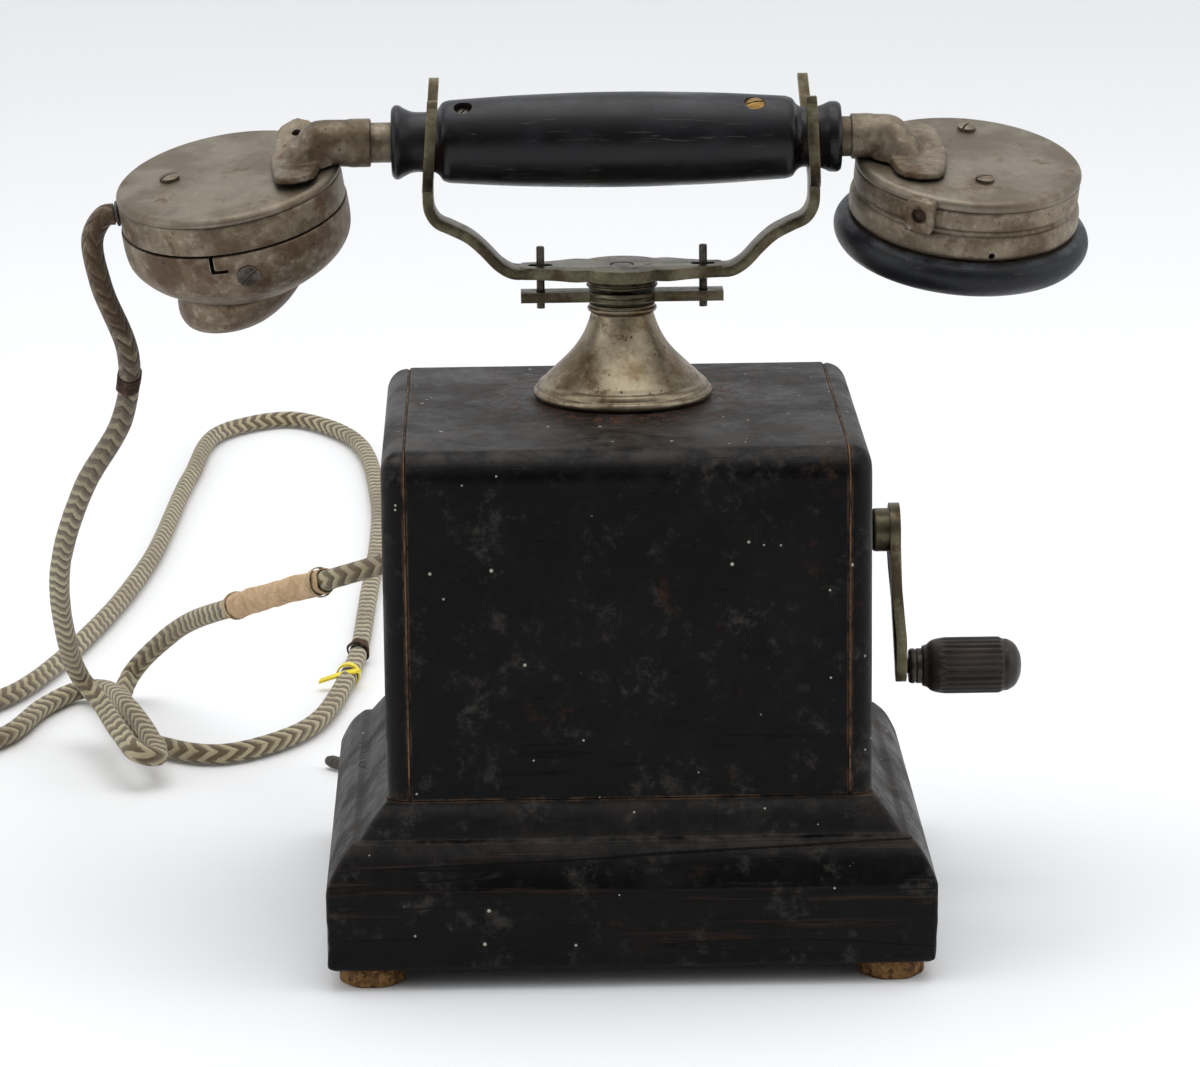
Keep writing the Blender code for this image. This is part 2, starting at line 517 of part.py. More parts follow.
def build_receiver(handset_axis):
    axis = empty("receiver_axis", (RECEIVER_X, 0, -RECEIVER_DROP), (0, RECEIVER_TILT, 0), handset_axis)
    shell = [(0, 0), (29.9, 0), (30.8, -0.9), (30.8, -8.6), (30.1, -9.4), (30.1, -10.0), (31.2, -10.8),
             (31.2, -15.9), (30.6, -16.7), (28.6, -16.7), (28.6, -1.7), (0, -1.7)]
    add("receiver_shell", turned(shell, "Z", 28), "capsule_brass", axis)
    cap = [(31.4, -17.0), (33.8, -18.2), (34.8, -20.4), (34.5, -23.2), (32.4, -26.0), (28.8, -27.5),
           (25.0, -27.3), (15.0, -24.8), (6.2, -23.4), (5.2, -22.8), (5.2, -20.6), (27.0, -20.6),
           (27.0, -17.0)]
    add("ear_cap", turned(cap, "Z", 28), "ebonite", axis)
    add("receiver_diaphragm", rod(26.5, -18.4, -17.6, "Z", 20), "iron", axis)
    magnet = [(13.0, -2.2), (23.0, -2.2), (23.0, -9.0), (13.0, -9.0)]
    add("receiver_magnet", turned(magnet, "Z", 20), "iron", axis)
    add("receiver_coils", rod(9.0, -15.8, -2.2, "Z", 20), "copper", axis)
    boss = add("receiver_boss", block((-3.8, -34.0, -9.6), (3.8, -31.1, 0.2 - 0.4)), "capsule_brass", axis)
    boss.rotation_euler = (0, 0, math.radians(-27.5))
    cut(boss, rod_at(2.1, -36, -30, -4.9), "bore")
    return axis


def rod_at(radius, low, high, z):
    bm = rod(radius, low, high, "Y", 14)
    bmesh.ops.translate(bm, vec=(0, 0, z), verts=bm.verts)
    return bm


# ---------------------------------------------------------------- cords

# From the transmitter down to the table, a fold beside itself, out to the left, back, round the long loop
# behind the case, under the fold and up into the back of the case
HANDSET_CORD = [
    (-135.9, 19.4, 191.3), (-138.7, 19.4, 190.8), (-142.1, 19.1, 185.0), (-140.5, 20.6, 172.0),
    (-134.4, 29.0, 151.0), (-137.4, 44.0, 130.0), (-151.0, 69.0, 104.0), (-161.8, 104.0, 72.0),
    (-164.4, 142.0, 41.0), (-162.4, 166.0, 21.0), (-156.4, 160.0, 15.2), (-148.4, 132.0, 13.4),
    (-141.6, 115.6, 11.4), (-136.8, 119.0, 9.4), (-139.6, 138.0, 9.4), (-148.6, 170.0, 10.4),
    (-157.6, 201.0, 7.4), (-167.0, 214.0, 3.8), (-176.5, 198.0, 3.4), (-186.0, 165.0, 3.4),
    (-197.0, 152.0, 3.4), (-207.0, 165.0, 3.4), (-201.0, 188.0, 3.4), (-185.0, 220.0, 3.4),
    (-168.0, 292.0, 3.4), (-156.0, 380.0, 3.4), (-149.0, 510.0, 3.4), (-140.0, 586.0, 3.4),
    (-116.0, 605.0, 3.4), (-92.0, 574.0, 3.4), (-78.4, 470.0, 3.4), (-78.6, 324.0, 3.4),
    (-82.6, 226.0, 3.4), (-96.0, 163.0, 3.4), (-120.0, 141.0, 3.4), (-142.0, 156.0, 3.4),
    (-152.2, 188.0, 3.6), (-150.6, 214.0, 8.8), (-136.0, 198.0, 26.4), (-113.4, 145.0, 48.5),
    (-87.0, 98.0, 67.3), (-54.0, 74.0, 82.0), (-40.0, 66.0, 86.0), (-40.0, 61.2, 86.0),
]
LEAD = [(-30.0, 75.6, 15.0), (-30.2, 82.0, 12.6), (-33.0, 92.0, 5.6), (-42.0, 104.0, 2.3),
        (-56.0, 112.0, 2.3), (-70.0, 121.0, 2.3), (-86.4, 136.0, 2.3)]
STEPS = 2  # tube points for each step of a cord's route


def smooth_points(route):
    """Points on a centripetal Catmull-Rom curve through the route, closer together where the route's are."""
    knots = [Vector(p) for p in route]
    knots = [2 * knots[0] - knots[1], *knots, 2 * knots[-1] - knots[-2]]
    points = []
    for a, b, c, d in zip(knots, knots[1:], knots[2:], knots[3:]):
        times = [0.0]
        for p, q in ((a, b), (b, c), (c, d)):
            times.append(times[-1] + math.sqrt((q - p).length))
        middle = times[2] - times[1]
        points += [catmull(a, b, c, d, times, times[1] + middle * i / STEPS) for i in range(STEPS)]
    return points + [knots[-2]]


def catmull(a, b, c, d, t, s):
    def mix(p, q, start, end):
        return p.lerp(q, (s - start) / (end - start))

    first, second, third = mix(a, b, t[0], t[1]), mix(b, c, t[1], t[2]), mix(c, d, t[2], t[3])
    return mix(mix(first, second, t[0], t[2]), mix(second, third, t[1], t[3]), t[1], t[2])


def add_cord(name, route, diameter):
    curve = bpy.data.curves.new(name, "CURVE")
    curve.dimensions = "3D"
    curve.bevel_depth = diameter / 2 * MM
    curve.bevel_resolution = 2
    curve.use_fill_caps = True
    points = smooth_points(route)
    spline = curve.splines.new("POLY")
    spline.points.add(len(points) - 1)
    for point, place in zip(spline.points, points):
        point.co = (*(place * MM), 1.0)
    curve.materials.append(material(name, "cord_braid"))
    obj = bpy.data.objects.new(name, curve)
    obj.location = located((0, 0, 0), None)
    bpy.context.scene.collection.objects.link(obj)


def build_cords():
    add_cord("handset_cord", HANDSET_CORD, CORD_D)
    add_cord("line_cord", LEAD, LEAD_D)
    gland = [(2.2, 72.3), (3.9, 72.3), (3.9, 73.4), (3.0, 75.0), (2.2, 75.0)]
    add("line_cord_gland", turned(gland, "Y", 16), "ebonite", place=(LEAD_HOLE.x, 0, LEAD_HOLE.y))


clear_scene()
build_base()
build_case()
build_pillar()
build_cradle()
build_crank()
build_magneto()
build_electrics()
build_ringer()
build_handset()
build_cords()
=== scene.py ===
"""Desk magneto telephone: the looks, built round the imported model.

Shapes are made in millimetres in the model's frame (+Z up, +X the crank side, +Y the back), then in metres.
"""

import math

import bmesh
import bpy
from mathutils import Matrix, Vector, noise


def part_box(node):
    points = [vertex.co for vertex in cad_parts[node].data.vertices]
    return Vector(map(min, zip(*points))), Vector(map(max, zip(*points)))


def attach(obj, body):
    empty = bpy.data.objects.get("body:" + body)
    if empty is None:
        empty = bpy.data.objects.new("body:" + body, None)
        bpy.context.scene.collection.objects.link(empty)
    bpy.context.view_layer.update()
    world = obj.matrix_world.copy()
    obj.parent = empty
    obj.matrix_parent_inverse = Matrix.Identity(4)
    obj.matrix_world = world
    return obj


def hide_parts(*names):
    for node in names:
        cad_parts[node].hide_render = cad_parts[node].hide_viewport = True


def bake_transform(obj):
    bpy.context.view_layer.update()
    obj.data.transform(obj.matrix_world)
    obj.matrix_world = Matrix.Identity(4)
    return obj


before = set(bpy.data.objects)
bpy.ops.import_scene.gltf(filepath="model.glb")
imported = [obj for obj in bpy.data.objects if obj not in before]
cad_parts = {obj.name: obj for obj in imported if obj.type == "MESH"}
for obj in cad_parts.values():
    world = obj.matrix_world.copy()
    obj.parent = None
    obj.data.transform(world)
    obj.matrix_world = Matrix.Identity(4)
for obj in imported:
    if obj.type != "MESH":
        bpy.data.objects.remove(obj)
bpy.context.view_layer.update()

MM = 0.001
SHIFT_X = 3.0  # where the base's middle is


def at(x=0.0, y=0.0, z=0.0):
    return Matrix.Translation((x, y, z))


def turn(degrees, axis):
    return Matrix.Rotation(math.radians(degrees), 4, axis)


BASE = at(SHIFT_X)
PILLAR = at(SHIFT_X + 0.8, 15.0)
CRANK = at(SHIFT_X, 0, 105.0)
KNOB = at(SHIFT_X, 0, 105.0 - 38.4)
HANDSET = at(SHIFT_X, 15.0, 210.5) @ turn(13.0, "X")
TRANSMITTER = HANDSET @ at(-105.2, 0, -8.6) @ turn(-8.0, "Y")
RECEIVER = HANDSET @ at(94.8, 0, -7.2) @ turn(4.4, "Y")


# ---------------------------------------------------------------- shapes


def rounded(points, closed=True, steps=4):
    """An outline with its corners rounded: a point is (u, v), or (u, v, radius)."""
    out = []
    for i, p in enumerate(points):
        corner = Vector(p[:2])
        radius = p[2] if len(p) > 2 else 0.0
        if not radius or (not closed and i in (0, len(points) - 1)):
            out.append(tuple(corner))
            continue
        ends = []
        for q in (points[i - 1], points[(i + 1) % len(points)]):
            side = Vector(q[:2]) - corner
            ends.append(corner + side.normalized() * min(radius, side.length * 0.48))
        for k in range(steps + 1):
            t = k / steps
            out.append(tuple(ends[0] * (1 - t) ** 2 + corner * 2 * t * (1 - t) + ends[1] * t * t))
    return out


def arc(cx, cy, r, start, end, steps):
    turns = [math.radians(start + (end - start) * i / steps) for i in range(steps + 1)]
    return [(cx + r * math.cos(a), cy + r * math.sin(a)) for a in turns]


def loft(rings, closed=False):
    bm = bmesh.new()
    loops = [[bm.verts.new(p) for p in ring] for ring in rings]
    for a, b in zip(loops, loops[1:] + loops[:1] if closed else loops[1:]):
        for i in range(len(a)):
            j = (i + 1) % len(a)
            bm.faces.new((a[i], a[j], b[j], b[i]))
    if not closed:
        bm.faces.new(loops[0])
        bm.faces.new(list(reversed(loops[-1])))
    return bm


def turned(profile, axis="Z", sides=96, shape=None):
    """A body turned from an outline of (radius, height); shape(radius, height, angle) may change a radius."""
    bm = bmesh.new()
    columns = []
    for i in range(sides):
        a = 2 * math.pi * i / sides
        column = []
        for n, (r, h) in enumerate(profile):
            if r < 1e-6:
                column.append(bm.verts.new(spun(0, h, a, axis)) if i == 0 else columns[0][n])
            else:
                column.append(bm.verts.new(spun(shape(r, h, a) if shape else r, h, a, axis)))
        columns.append(column)
    for i in range(sides):
        a, b = columns[i], columns[(i + 1) % sides]
        for n in range(len(profile)):
            m = (n + 1) % len(profile)
            corners = []
            for v in (a[n], a[m], b[m], b[n]):
                if v not in corners:
                    corners.append(v)
            if len(corners) > 2:
                bm.faces.new(corners)
    return bm


def spun(r, h, a, axis):
    u, v = r * math.cos(a), r * math.sin(a)
    return {"Z": (u, v, h), "X": (h, u, v), "Y": (v, h, u)}[axis]


def rod(radius, low, high, axis="Z", sides=48, edge=0.0):
    outline = [(0, low), (radius, low, edge), (radius, high, edge), (0, high)]
    return turned(rounded(outline, True, 3), axis, sides)


def block(low, high):
    (x0, y0, z0), (x1, y1, z1) = low, high
    return loft([[(x0, y0, z), (x1, y0, z), (x1, y1, z), (x0, y1, z)] for z in (z0, z1)])


def prism(outline, low, high, axis, steps=1):
    put = {
        "X": lambda u, v, h: (h, u, v),
        "Y": lambda u, v, h: (u, h, v),
        "Z": lambda u, v, h: (u, v, h),
    }[axis]
    heights = [low + (high - low) * i / steps for i in range(steps + 1)]
    return loft([[put(u, v, h) for u, v in outline] for h in heights])


def moved(bm, matrix):
    bmesh.ops.transform(bm, matrix=matrix, verts=bm.verts)
    return bm


def smooth_route(route, steps):
    """Points on a centripetal Catmull-Rom curve through the route."""
    knots = [Vector(p) for p in route]
    knots = [2 * knots[0] - knots[1], *knots, 2 * knots[-1] - knots[-2]]
    points = []
    for a, b, c, d in zip(knots, knots[1:], knots[2:], knots[3:]):
        t = [0.0]
        for p, q in ((a, b), (b, c), (c, d)):
            t.append(t[-1] + math.sqrt((q - p).length))
        for i in range(steps):
            s = t[1] + (t[2] - t[1]) * i / steps
            mix = lambda p, q, i0, i1: p.lerp(q, (s - t[i0]) / (t[i1] - t[i0]))
            first, second, third = mix(a, b, 0, 1), mix(b, c, 1, 2), mix(c, d, 2, 3)
            points.append(mix(mix(first, second, 0, 2), mix(second, third, 1, 3), 1, 2))
    return points + [knots[-2]]


def sweep(path, section, up=Vector((0, 0, 1))):
    """A section of (across, up) points carried along a path without twisting."""
    rings = []
    normal = up
    for i, p in enumerate(path):
        along = (path[min(i + 1, len(path) - 1)] - path[max(i - 1, 0)]).normalized()
        normal = (normal - along * normal.dot(along)).normalized()
        across = along.cross(normal)
        rings.append([p + across * u + normal * v for u, v in section])
    return loft(rings)


def mesh_object(name, bm, place=Matrix.Identity(4)):
    moved(bm, place)
    bmesh.ops.recalc_face_normals(bm, faces=bm.faces)
    bmesh.ops.scale(bm, vec=(MM, MM, MM), verts=bm.verts)
    mesh = bpy.data.meshes.new(name)
    bm.to_mesh(mesh)
    bm.free()
    obj = bpy.data.objects.new(name, mesh)
    bpy.context.scene.collection.objects.link(obj)
    return obj


def apply(obj):
    """Makes the modifiers' result the object's own mesh."""
    bpy.context.view_layer.update()
    result = bpy.data.meshes.new_from_object(obj.evaluated_get(bpy.context.evaluated_depsgraph_get()))
    obj.modifiers.clear()
    obj.data = result


def combine(obj, shapes, operation, place):
    """Joins or cuts shapes, given in the same place as the object."""
    for bm in shapes:
        tool = mesh_object("tool", bm, place)
        modifier = obj.modifiers.new("boolean", "BOOLEAN")
        modifier.operation = operation
        modifier.solver = "EXACT"
        modifier.object = tool
        apply(obj)
        bpy.data.objects.remove(tool)


def finish_piece(obj, body, paint, slot, replaced=(), sharp=38, bevel=0.0):
    if bevel:
        modifier = obj.modifiers.new("bevel", "BEVEL")
        modifier.width = bevel * MM
        modifier.segments = 3
        modifier.angle_limit = math.radians(35)
        modifier.use_clamp_overlap = True
        apply(obj)
    obj.data.materials.clear()
    obj.data.materials.append(paint)
    obj.data.shade_smooth()
    obj.data.set_sharp_from_angle(angle=math.radians(sharp))
    if body:
        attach(obj, body)
    if replaced:
        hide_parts(*replaced)
    return obj


def piece(name, bm, body, paint, slot, place=Matrix.Identity(4), replaced=(), **looks):
    return finish_piece(mesh_object(name, bm, place), body, paint, slot, replaced, **looks)


def together(shapes):
    """Several closed shapes in one mesh, where they may overlap."""
    whole = bmesh.new()
    for bm in shapes:
        bmesh.ops.recalc_face_normals(bm, faces=bm.faces)
        mesh = bpy.data.meshes.new("shape")
        bm.to_mesh(mesh)
        bm.free()
        whole.from_mesh(mesh)
        bpy.data.meshes.remove(mesh)
    return whole


def cast(obj, voxel=0.45, rounds=4):
    """Melts overlapping shapes into one, with soft inner corners like a casting's."""
    remesh = obj.modifiers.new("remesh", "REMESH")
    remesh.mode = "VOXEL"
    remesh.voxel_size = voxel * MM
    smooth = obj.modifiers.new("smooth", "SMOOTH")
    smooth.factor = 0.5
    smooth.iterations = rounds
    apply(obj)


def roughen(obj, amount, size, lift=0.0):
    """Moves the surface in by up to amount mm, in lumps of about size mm."""
    for v in obj.data.vertices:
        n = noise.fractal(v.co / (size * MM), 1.0, 2.0, 3)
        v.co -= v.normal * max(0.0, amount * (0.5 + n) - lift) * MM


# ---------------------------------------------------------------- paint


def rgb(r, g, b):
    return tuple((c / 255) ** 2.2 for c in (r, g, b)) + (1.0,)


class Paint:
    """A short way to write a material's nodes. A pattern's scale is per metre, in the model's frame."""

    def __init__(self, name, **sockets):
        self.material = bpy.data.materials.new(name)
        self.material.use_nodes = True
        self.tree = self.material.node_tree
        self.shader = self.tree.nodes["Principled BSDF"]
        self.coords = self.tree.nodes.new("ShaderNodeTexCoord")
        self.place = self.coords.outputs["Object"]
        for key, value in sockets.items():
            self.shader.inputs[key.replace("_", " ")].default_value = value

    def new(self, kind, inputs, **settings):
        node = self.tree.nodes.new("ShaderNode" + kind)
        for key, value in settings.items():
            setattr(node, key, value)
        for key, value in inputs.items():
            if isinstance(value, bpy.types.NodeSocket):
                self.tree.links.new(value, node.inputs[key])
            else:
                node.inputs[key].default_value = value
        return node

    def math(self, operation, a, b=0.0):
        return self.new("Math", {0: a, 1: b}, operation=operation).outputs[0]

    def noise(self, scale, detail=4.0, rough=0.55, stretch=None, warp=0.0, offset=None):
        place = self.place
        if offset:
            place = self.new("VectorMath", {0: place, 1: offset}, operation="ADD").outputs[0]
        if stretch:
            place = self.new("VectorMath", {0: place, 1: stretch}, operation="MULTIPLY").outputs[0]
        inputs = {"Vector": place, "Scale": scale, "Detail": detail, "Roughness": rough, "Distortion": warp}
        return self.new("TexNoise", inputs).outputs[0]

    def range(self, value, low, high, start=0.0, end=1.0):
        inputs = {0: value, 1: low, 2: high, 3: start, 4: end}
        return self.new("MapRange", inputs, interpolation_type="SMOOTHSTEP").outputs[0]

    def mix(self, amount, a, b):
        return self.new("Mix", {0: amount, 6: a, 7: b}, data_type="RGBA").outputs[2]

    def both(self, *values):
        total = values[0]
        for value in values[1:]:
            total = self.math("MULTIPLY", total, value)
        return total

    def edges(self, radius):
        """1 on outer and inner edges, 0 on the flats."""
        soft = self.new("Bevel", {"Radius": radius * MM}, samples=6).outputs[0]
        normal = self.tree.nodes.new("ShaderNodeNewGeometry").outputs["Normal"]
        flat = self.new("VectorMath", {0: soft, 1: normal}, operation="DOT_PRODUCT").outputs["Value"]
        return self.range(flat, 0.995, 0.93)

    def hollows(self, distance):
        """1 in corners and under rims, 0 in the open."""
        shade = self.new("AmbientOcclusion", {"Distance": distance * MM}, samples=6)
        return self.range(shade.outputs["AO"], 0.85, 0.35)

    def upward(self):
        normal = self.tree.nodes.new("ShaderNodeNewGeometry").outputs["Normal"]
        return self.range(self.new("SeparateXYZ", {0: normal}).outputs[2], 0.5, 0.95)

    def spots(self, scale, size, share):
        """Round specks of a size (as a share of their spacing) on some of the places."""
        cells = self.new("TexVoronoi", {"Vector": self.place, "Scale": scale})
        chance = self.new("SeparateColor", {0: cells.outputs["Color"]}).outputs[0]
        some = self.range(chance, 1 - share, 1 - share + 0.01)
        return self.math("MULTIPLY", self.range(cells.outputs["Distance"], size, size * 0.6), some)

    def finish(self, colour, roughness, heights=()):
        """heights are (value, depth in mm) pairs."""
        self.tree.links.new(colour, self.shader.inputs["Base Color"])
        self.tree.links.new(roughness, self.shader.inputs["Roughness"])
        normal = None
        for value, depth in heights:
            inputs = {"Height": value, "Distance": depth * MM, "Strength": 1.0}
            if normal:
                inputs["Normal"] = normal
            normal = self.new("Bump", inputs).outputs[0]
        if normal:
            self.tree.links.new(normal, self.shader.inputs["Normal"])
        return self.material


def wood_paint(name, grain=(0.05, 1.0, 1.0), wear=1.0, dust=0.5, bare=(104, 82, 64), cracks=0.0):
    """Black polish worn through to brown: mottled, with pale specks, bare edges and dust in the corners."""
    p = Paint(name, Specular_IOR_Level=0.13)
    fibres = p.noise(1500.0, 3.0, 0.6, grain)
    pores = p.range(p.noise(620.0, 4.0, 0.7, grain), 0.60, 0.72)
    mottle = p.range(p.noise(45.0, 6.0, 0.68), 0.42, 0.66)
    fine = p.noise(260.0, 5.0, 0.7)
    colour = p.mix(mottle, rgb(9, 9, 9), rgb(24, 22, 21))
    patches = p.range(p.noise(70.0, 6.0, 0.75, offset=(0.6, 0.2, 0.1)), 0.50, 0.66)
    clouds = p.both(patches, p.range(fine, 0.42, 0.62))
    colour = p.mix(p.math("MULTIPLY", clouds, 0.7), colour, rgb(62, 59, 56))
    patches = p.range(p.noise(38.0, 7.0, 0.72, offset=(0.3, 0.1, 0.7)), 0.60, 0.70)
    worn = p.both(patches, p.range(fine, 0.40, 0.58))
    colour = p.mix(p.math("MULTIPLY", worn, 0.6 * wear), colour, rgb(66, 42, 30))
    rim = p.both(p.edges(0.9), p.range(p.noise(140.0, 5.0, 0.7, offset=(0.0, 0.5, 0.0)), 0.42, 0.60))
    colour = p.mix(p.math("MULTIPLY", rim, 0.7 * wear), colour, rgb(*bare))
    dirt_and_shade = p.both(p.hollows(5.0), p.range(p.noise(320.0, 4.0, 0.7), 0.40, 0.60))
    colour = p.mix(p.math("MULTIPLY", dirt_and_shade, dust), colour, rgb(92, 70, 54))
    haze = p.both(p.upward(), p.range(p.noise(90.0, 6.0, 0.75), 0.36, 0.66))
    colour = p.mix(p.math("MULTIPLY", haze, 0.42), colour, rgb(92, 84, 78))
    # Rust that has crumbled off the pillar's foot lies round it
    away = p.new("VectorMath", {0: p.place, 1: (0.0038, 0.015, 0.140)}, operation="DISTANCE").outputs["Value"]
    crumbs = p.both(p.range(away, 0.046, 0.025), p.range(p.noise(330.0, 5.0, 0.75), 0.50, 0.58), p.upward())
    colour = p.mix(p.math("MULTIPLY", crumbs, 0.85), colour, rgb(88, 56, 42))
    specks = p.math("MAXIMUM", p.spots(105.0, 0.062, 0.85), p.spots(230.0, 0.085, 0.22))
    colour = p.mix(p.math("MULTIPLY", specks, 0.9), colour, rgb(178, 174, 160))
    rough = p.range(p.math("ADD", p.math("MULTIPLY", mottle, 0.5), fine), 0.3, 1.1, 0.36, 0.62)
    heights = [(fibres, 0.05), (pores, -0.08), (worn, -0.06), (crumbs, 0.3), (p.noise(55.0, 3.0), 0.25)]
    if cracks:
        lines = p.noise(70.0, 2.0, 0.5, (0.035, 0.4, 1.0), 0.6, (0.0, 0.0, cracks))
        split = p.range(p.math("ABSOLUTE", p.math("SUBTRACT", lines, 0.56)), 0.006, 0.001)
        colour = p.mix(split, colour, rgb(4, 4, 4))
        grained = p.range(p.noise(240.0, 4.0, 0.65, (0.03, 0.3, 1.0), 0.5), 0.56, 0.68)
        colour = p.mix(p.math("MULTIPLY", grained, 0.35), colour, rgb(70, 52, 40))
        heights.append((split, -0.5))
        heights.append((grained, -0.12))
    return p.finish(colour, rough, heights)


def metal_paint(name, base, dark, pale, rust, metallic, rough, pits=0.5, size=1.0, lumps=0.12):
    """Tarnished metal: a base colour with darker stains, pale bloom, rust and pits."""
    p = Paint(name, Metallic=metallic, Specular_IOR_Level=0.4)
    broad = p.noise(60.0 / size, 6.0, 0.65)
    fine = p.noise(420.0 / size, 5.0, 0.7)
    colour = p.mix(p.range(broad, 0.40, 0.62), rgb(*base), rgb(*dark))
    bloom = p.both(p.range(fine, 0.46, 0.74), p.range(broad, 0.62, 0.40, 0.1, 0.62))
    colour = p.mix(bloom, colour, rgb(*pale))
    patches = p.range(p.noise(75.0 / size, 7.0, 0.7, offset=(0.2, 0.9, 0.4)), 0.54, 0.66)
    stain = p.both(patches, p.range(fine, 0.36, 0.56))
    colour = p.mix(p.math("MULTIPLY", stain, 0.8), colour, rgb(*rust))
    # Darker in corners and under rims: grime with a painted shade.
    dirt_and_shade = p.both(p.hollows(3.0), p.range(fine, 0.30, 0.55, 0.45, 1.0))
    colour = p.mix(p.math("MULTIPLY", dirt_and_shade, 0.7), colour, rgb(*[c * 0.38 for c in dark]))
    colour = p.mix(p.math("MULTIPLY", p.edges(0.5), p.range(fine, 0.35, 0.6, 0.0, 0.6)), colour, rgb(*pale))
    holes = p.spots(520.0 / size, 0.20, 0.16)
    colour = p.mix(p.math("MULTIPLY", holes, pits), colour, rgb(*[c * 0.35 for c in dark]))
    tone = p.range(p.math("ADD", p.math("MULTIPLY", stain, 0.5), fine), 0.3, 1.0, rough[0], rough[1])
    return p.finish(colour, tone, [(fine, 0.05), (holes, -0.10 * pits), (broad, lumps)])


def ebonite_paint(name, base, haze, tint=(58, 40, 30), rough=(0.26, 0.48)):
    """Black rubber or dark polished wood: a grey film on top, a warm tint in the hollows, fine scratches. The
    tint is lighter grime on the rubber; on the knob wood it is darker than the base, grime with a painted
    shade.
    """
    p = Paint(name, Specular_IOR_Level=0.3)
    broad = p.noise(70.0, 5.0, 0.6)
    fine = p.noise(700.0, 4.0, 0.7)
    scratches = p.range(p.noise(900.0, 2.0, 0.5, (0.05, 1.0, 1.0), 1.5), 0.66, 0.72)
    colour = p.mix(p.range(broad, 0.42, 0.66), rgb(*base), rgb(*[c * 1.35 for c in base]))
    film = p.both(p.upward(), p.range(p.noise(120.0, 6.0, 0.72), 0.40, 0.68))
    colour = p.mix(p.math("MULTIPLY", film, 0.45), colour, rgb(*haze))
    # A warm tint in corners and under rims: grime, and where the tint is darker than the base, a painted
    # shade
    colour = p.mix(p.math("MULTIPLY", p.hollows(3.0), 0.55), colour, rgb(*tint))
    colour = p.mix(p.math("MULTIPLY", p.edges(0.6), p.range(fine, 0.4, 0.6, 0.1, 0.6)), colour, rgb(*haze))
    marks = p.math("MAXIMUM", p.spots(300.0, 0.10, 0.06), p.math("MULTIPLY", scratches, 0.30))
    colour = p.mix(p.math("MULTIPLY", marks, 0.6), colour, rgb(120, 116, 108))
    tone = p.range(p.math("ADD", broad, p.math("MULTIPLY", fine, 0.5)), 0.5, 1.0, rough[0], rough[1])
    return p.finish(colour, tone, [(fine, 0.015), (scratches, -0.02), (broad, 0.08)])


def cord_paint(name, light, dark, stain, pitch, dirty=0.5):
    """A herringbone braid: U runs round the cord and V along it in metres."""
    p = Paint(name, Sheen_Weight=0.35, Sheen_Roughness=0.5, Specular_IOR_Level=0.15)
    along, around = (p.new("SeparateXYZ", {0: p.coords.outputs["UV"]}).outputs[i] for i in (1, 0))
    along = p.math("ADD", along, p.range(p.noise(160.0, 2.0), 0.3, 0.7, -0.0004, 0.0004))
    zigzag = p.math("PINGPONG", p.math("MULTIPLY", around, 3.0), 0.5)
    phase = p.math("SUBTRACT", p.math("DIVIDE", along, pitch * MM), p.math("MULTIPLY", zigzag, 1.5))
    wave = p.math("SINE", p.math("MULTIPLY", phase, 2 * math.pi))
    strand = p.math("ABSOLUTE", wave)
    slant = p.math("ADD", phase, p.math("MULTIPLY", zigzag, 3.0))
    threads = p.math("SINE", p.math("MULTIPLY", slant, 12 * math.pi))
    fuzz = p.noise(1400.0, 4.0, 0.75)
    edge = p.math("ADD", wave, p.range(fuzz, 0.3, 0.7, -0.45, 0.45))
    colour = p.mix(p.range(edge, -0.35, 0.30), rgb(*dark), rgb(*light))
    colour = p.mix(p.range(threads, -1.0, 1.0, 0.0, 0.22), colour, rgb(*[c * 0.45 for c in dark]))
    colour = p.mix(p.range(strand, 0.35, 0.0, 0.0, 0.45), colour, rgb(*[c * 0.4 for c in dark]))
    soil = p.range(p.noise(22.0, 5.0, 0.65), 0.42, 0.68, 0.0, dirty)
    colour = p.mix(soil, colour, rgb(*stain))
    height = p.new("SeparateXYZ", {0: p.place}).outputs[2]
    grime = p.range(p.noise(260.0, 4.0, 0.7), 0.25, 0.60, 0.45, 0.95)
    handled = p.both(p.range(height, 0.060, 0.170), grime)
    colour = p.mix(handled, colour, rgb(78, 60, 44))
    tone = p.range(fuzz, 0.2, 0.8, 0.78, 0.98)
    return p.finish(colour, tone, [(strand, 0.28), (threads, 0.05), (fuzz, 0.10)])


def cork_paint(name):
    p = Paint(name, Specular_IOR_Level=0.25)
    grains = p.new("TexVoronoi", {"Vector": p.place, "Scale": 750.0})
    shade = p.new("SeparateColor", {0: grains.outputs["Color"]}).outputs[0]
    colour = p.mix(shade, rgb(84, 58, 36), rgb(138, 104, 66))
    colour = p.mix(p.range(p.noise(500.0, 4.0, 0.7), 0.52, 0.66), colour, rgb(52, 34, 22))
    return p.finish(colour, p.range(shade, 0.0, 1.0, 0.82, 0.96), [(grains.outputs["Distance"], 0.35)])


def plain_paint(name, light, dark, metallic=0.0, rough=(0.5, 0.8), scale=300.0, stretch=None, depth=0.06):
    """Two tones mixed by a stretched noise: bare wood, paper, iron, windings and thread."""
    p = Paint(name, Metallic=metallic, Specular_IOR_Level=0.35)
    broad = p.noise(scale * 0.2, 5.0, 0.6, offset=(0.1, 0.4, 0.2))
    fine = p.noise(scale, 5.0, 0.7, stretch)
    tone = p.math("ADD", broad, p.math("MULTIPLY", fine, 0.8))
    colour = p.mix(p.range(tone, 0.65, 1.1), rgb(*light), rgb(*dark))
    # Darker in corners and under rims: a painted shade.
    colour = p.mix(p.math("MULTIPLY", p.hollows(2.0), 0.5), colour, rgb(*[c * 0.4 for c in dark]))
    return p.finish(colour, p.range(fine, 0.3, 0.7, *rough), [(fine, depth), (broad, depth * 1.5)])


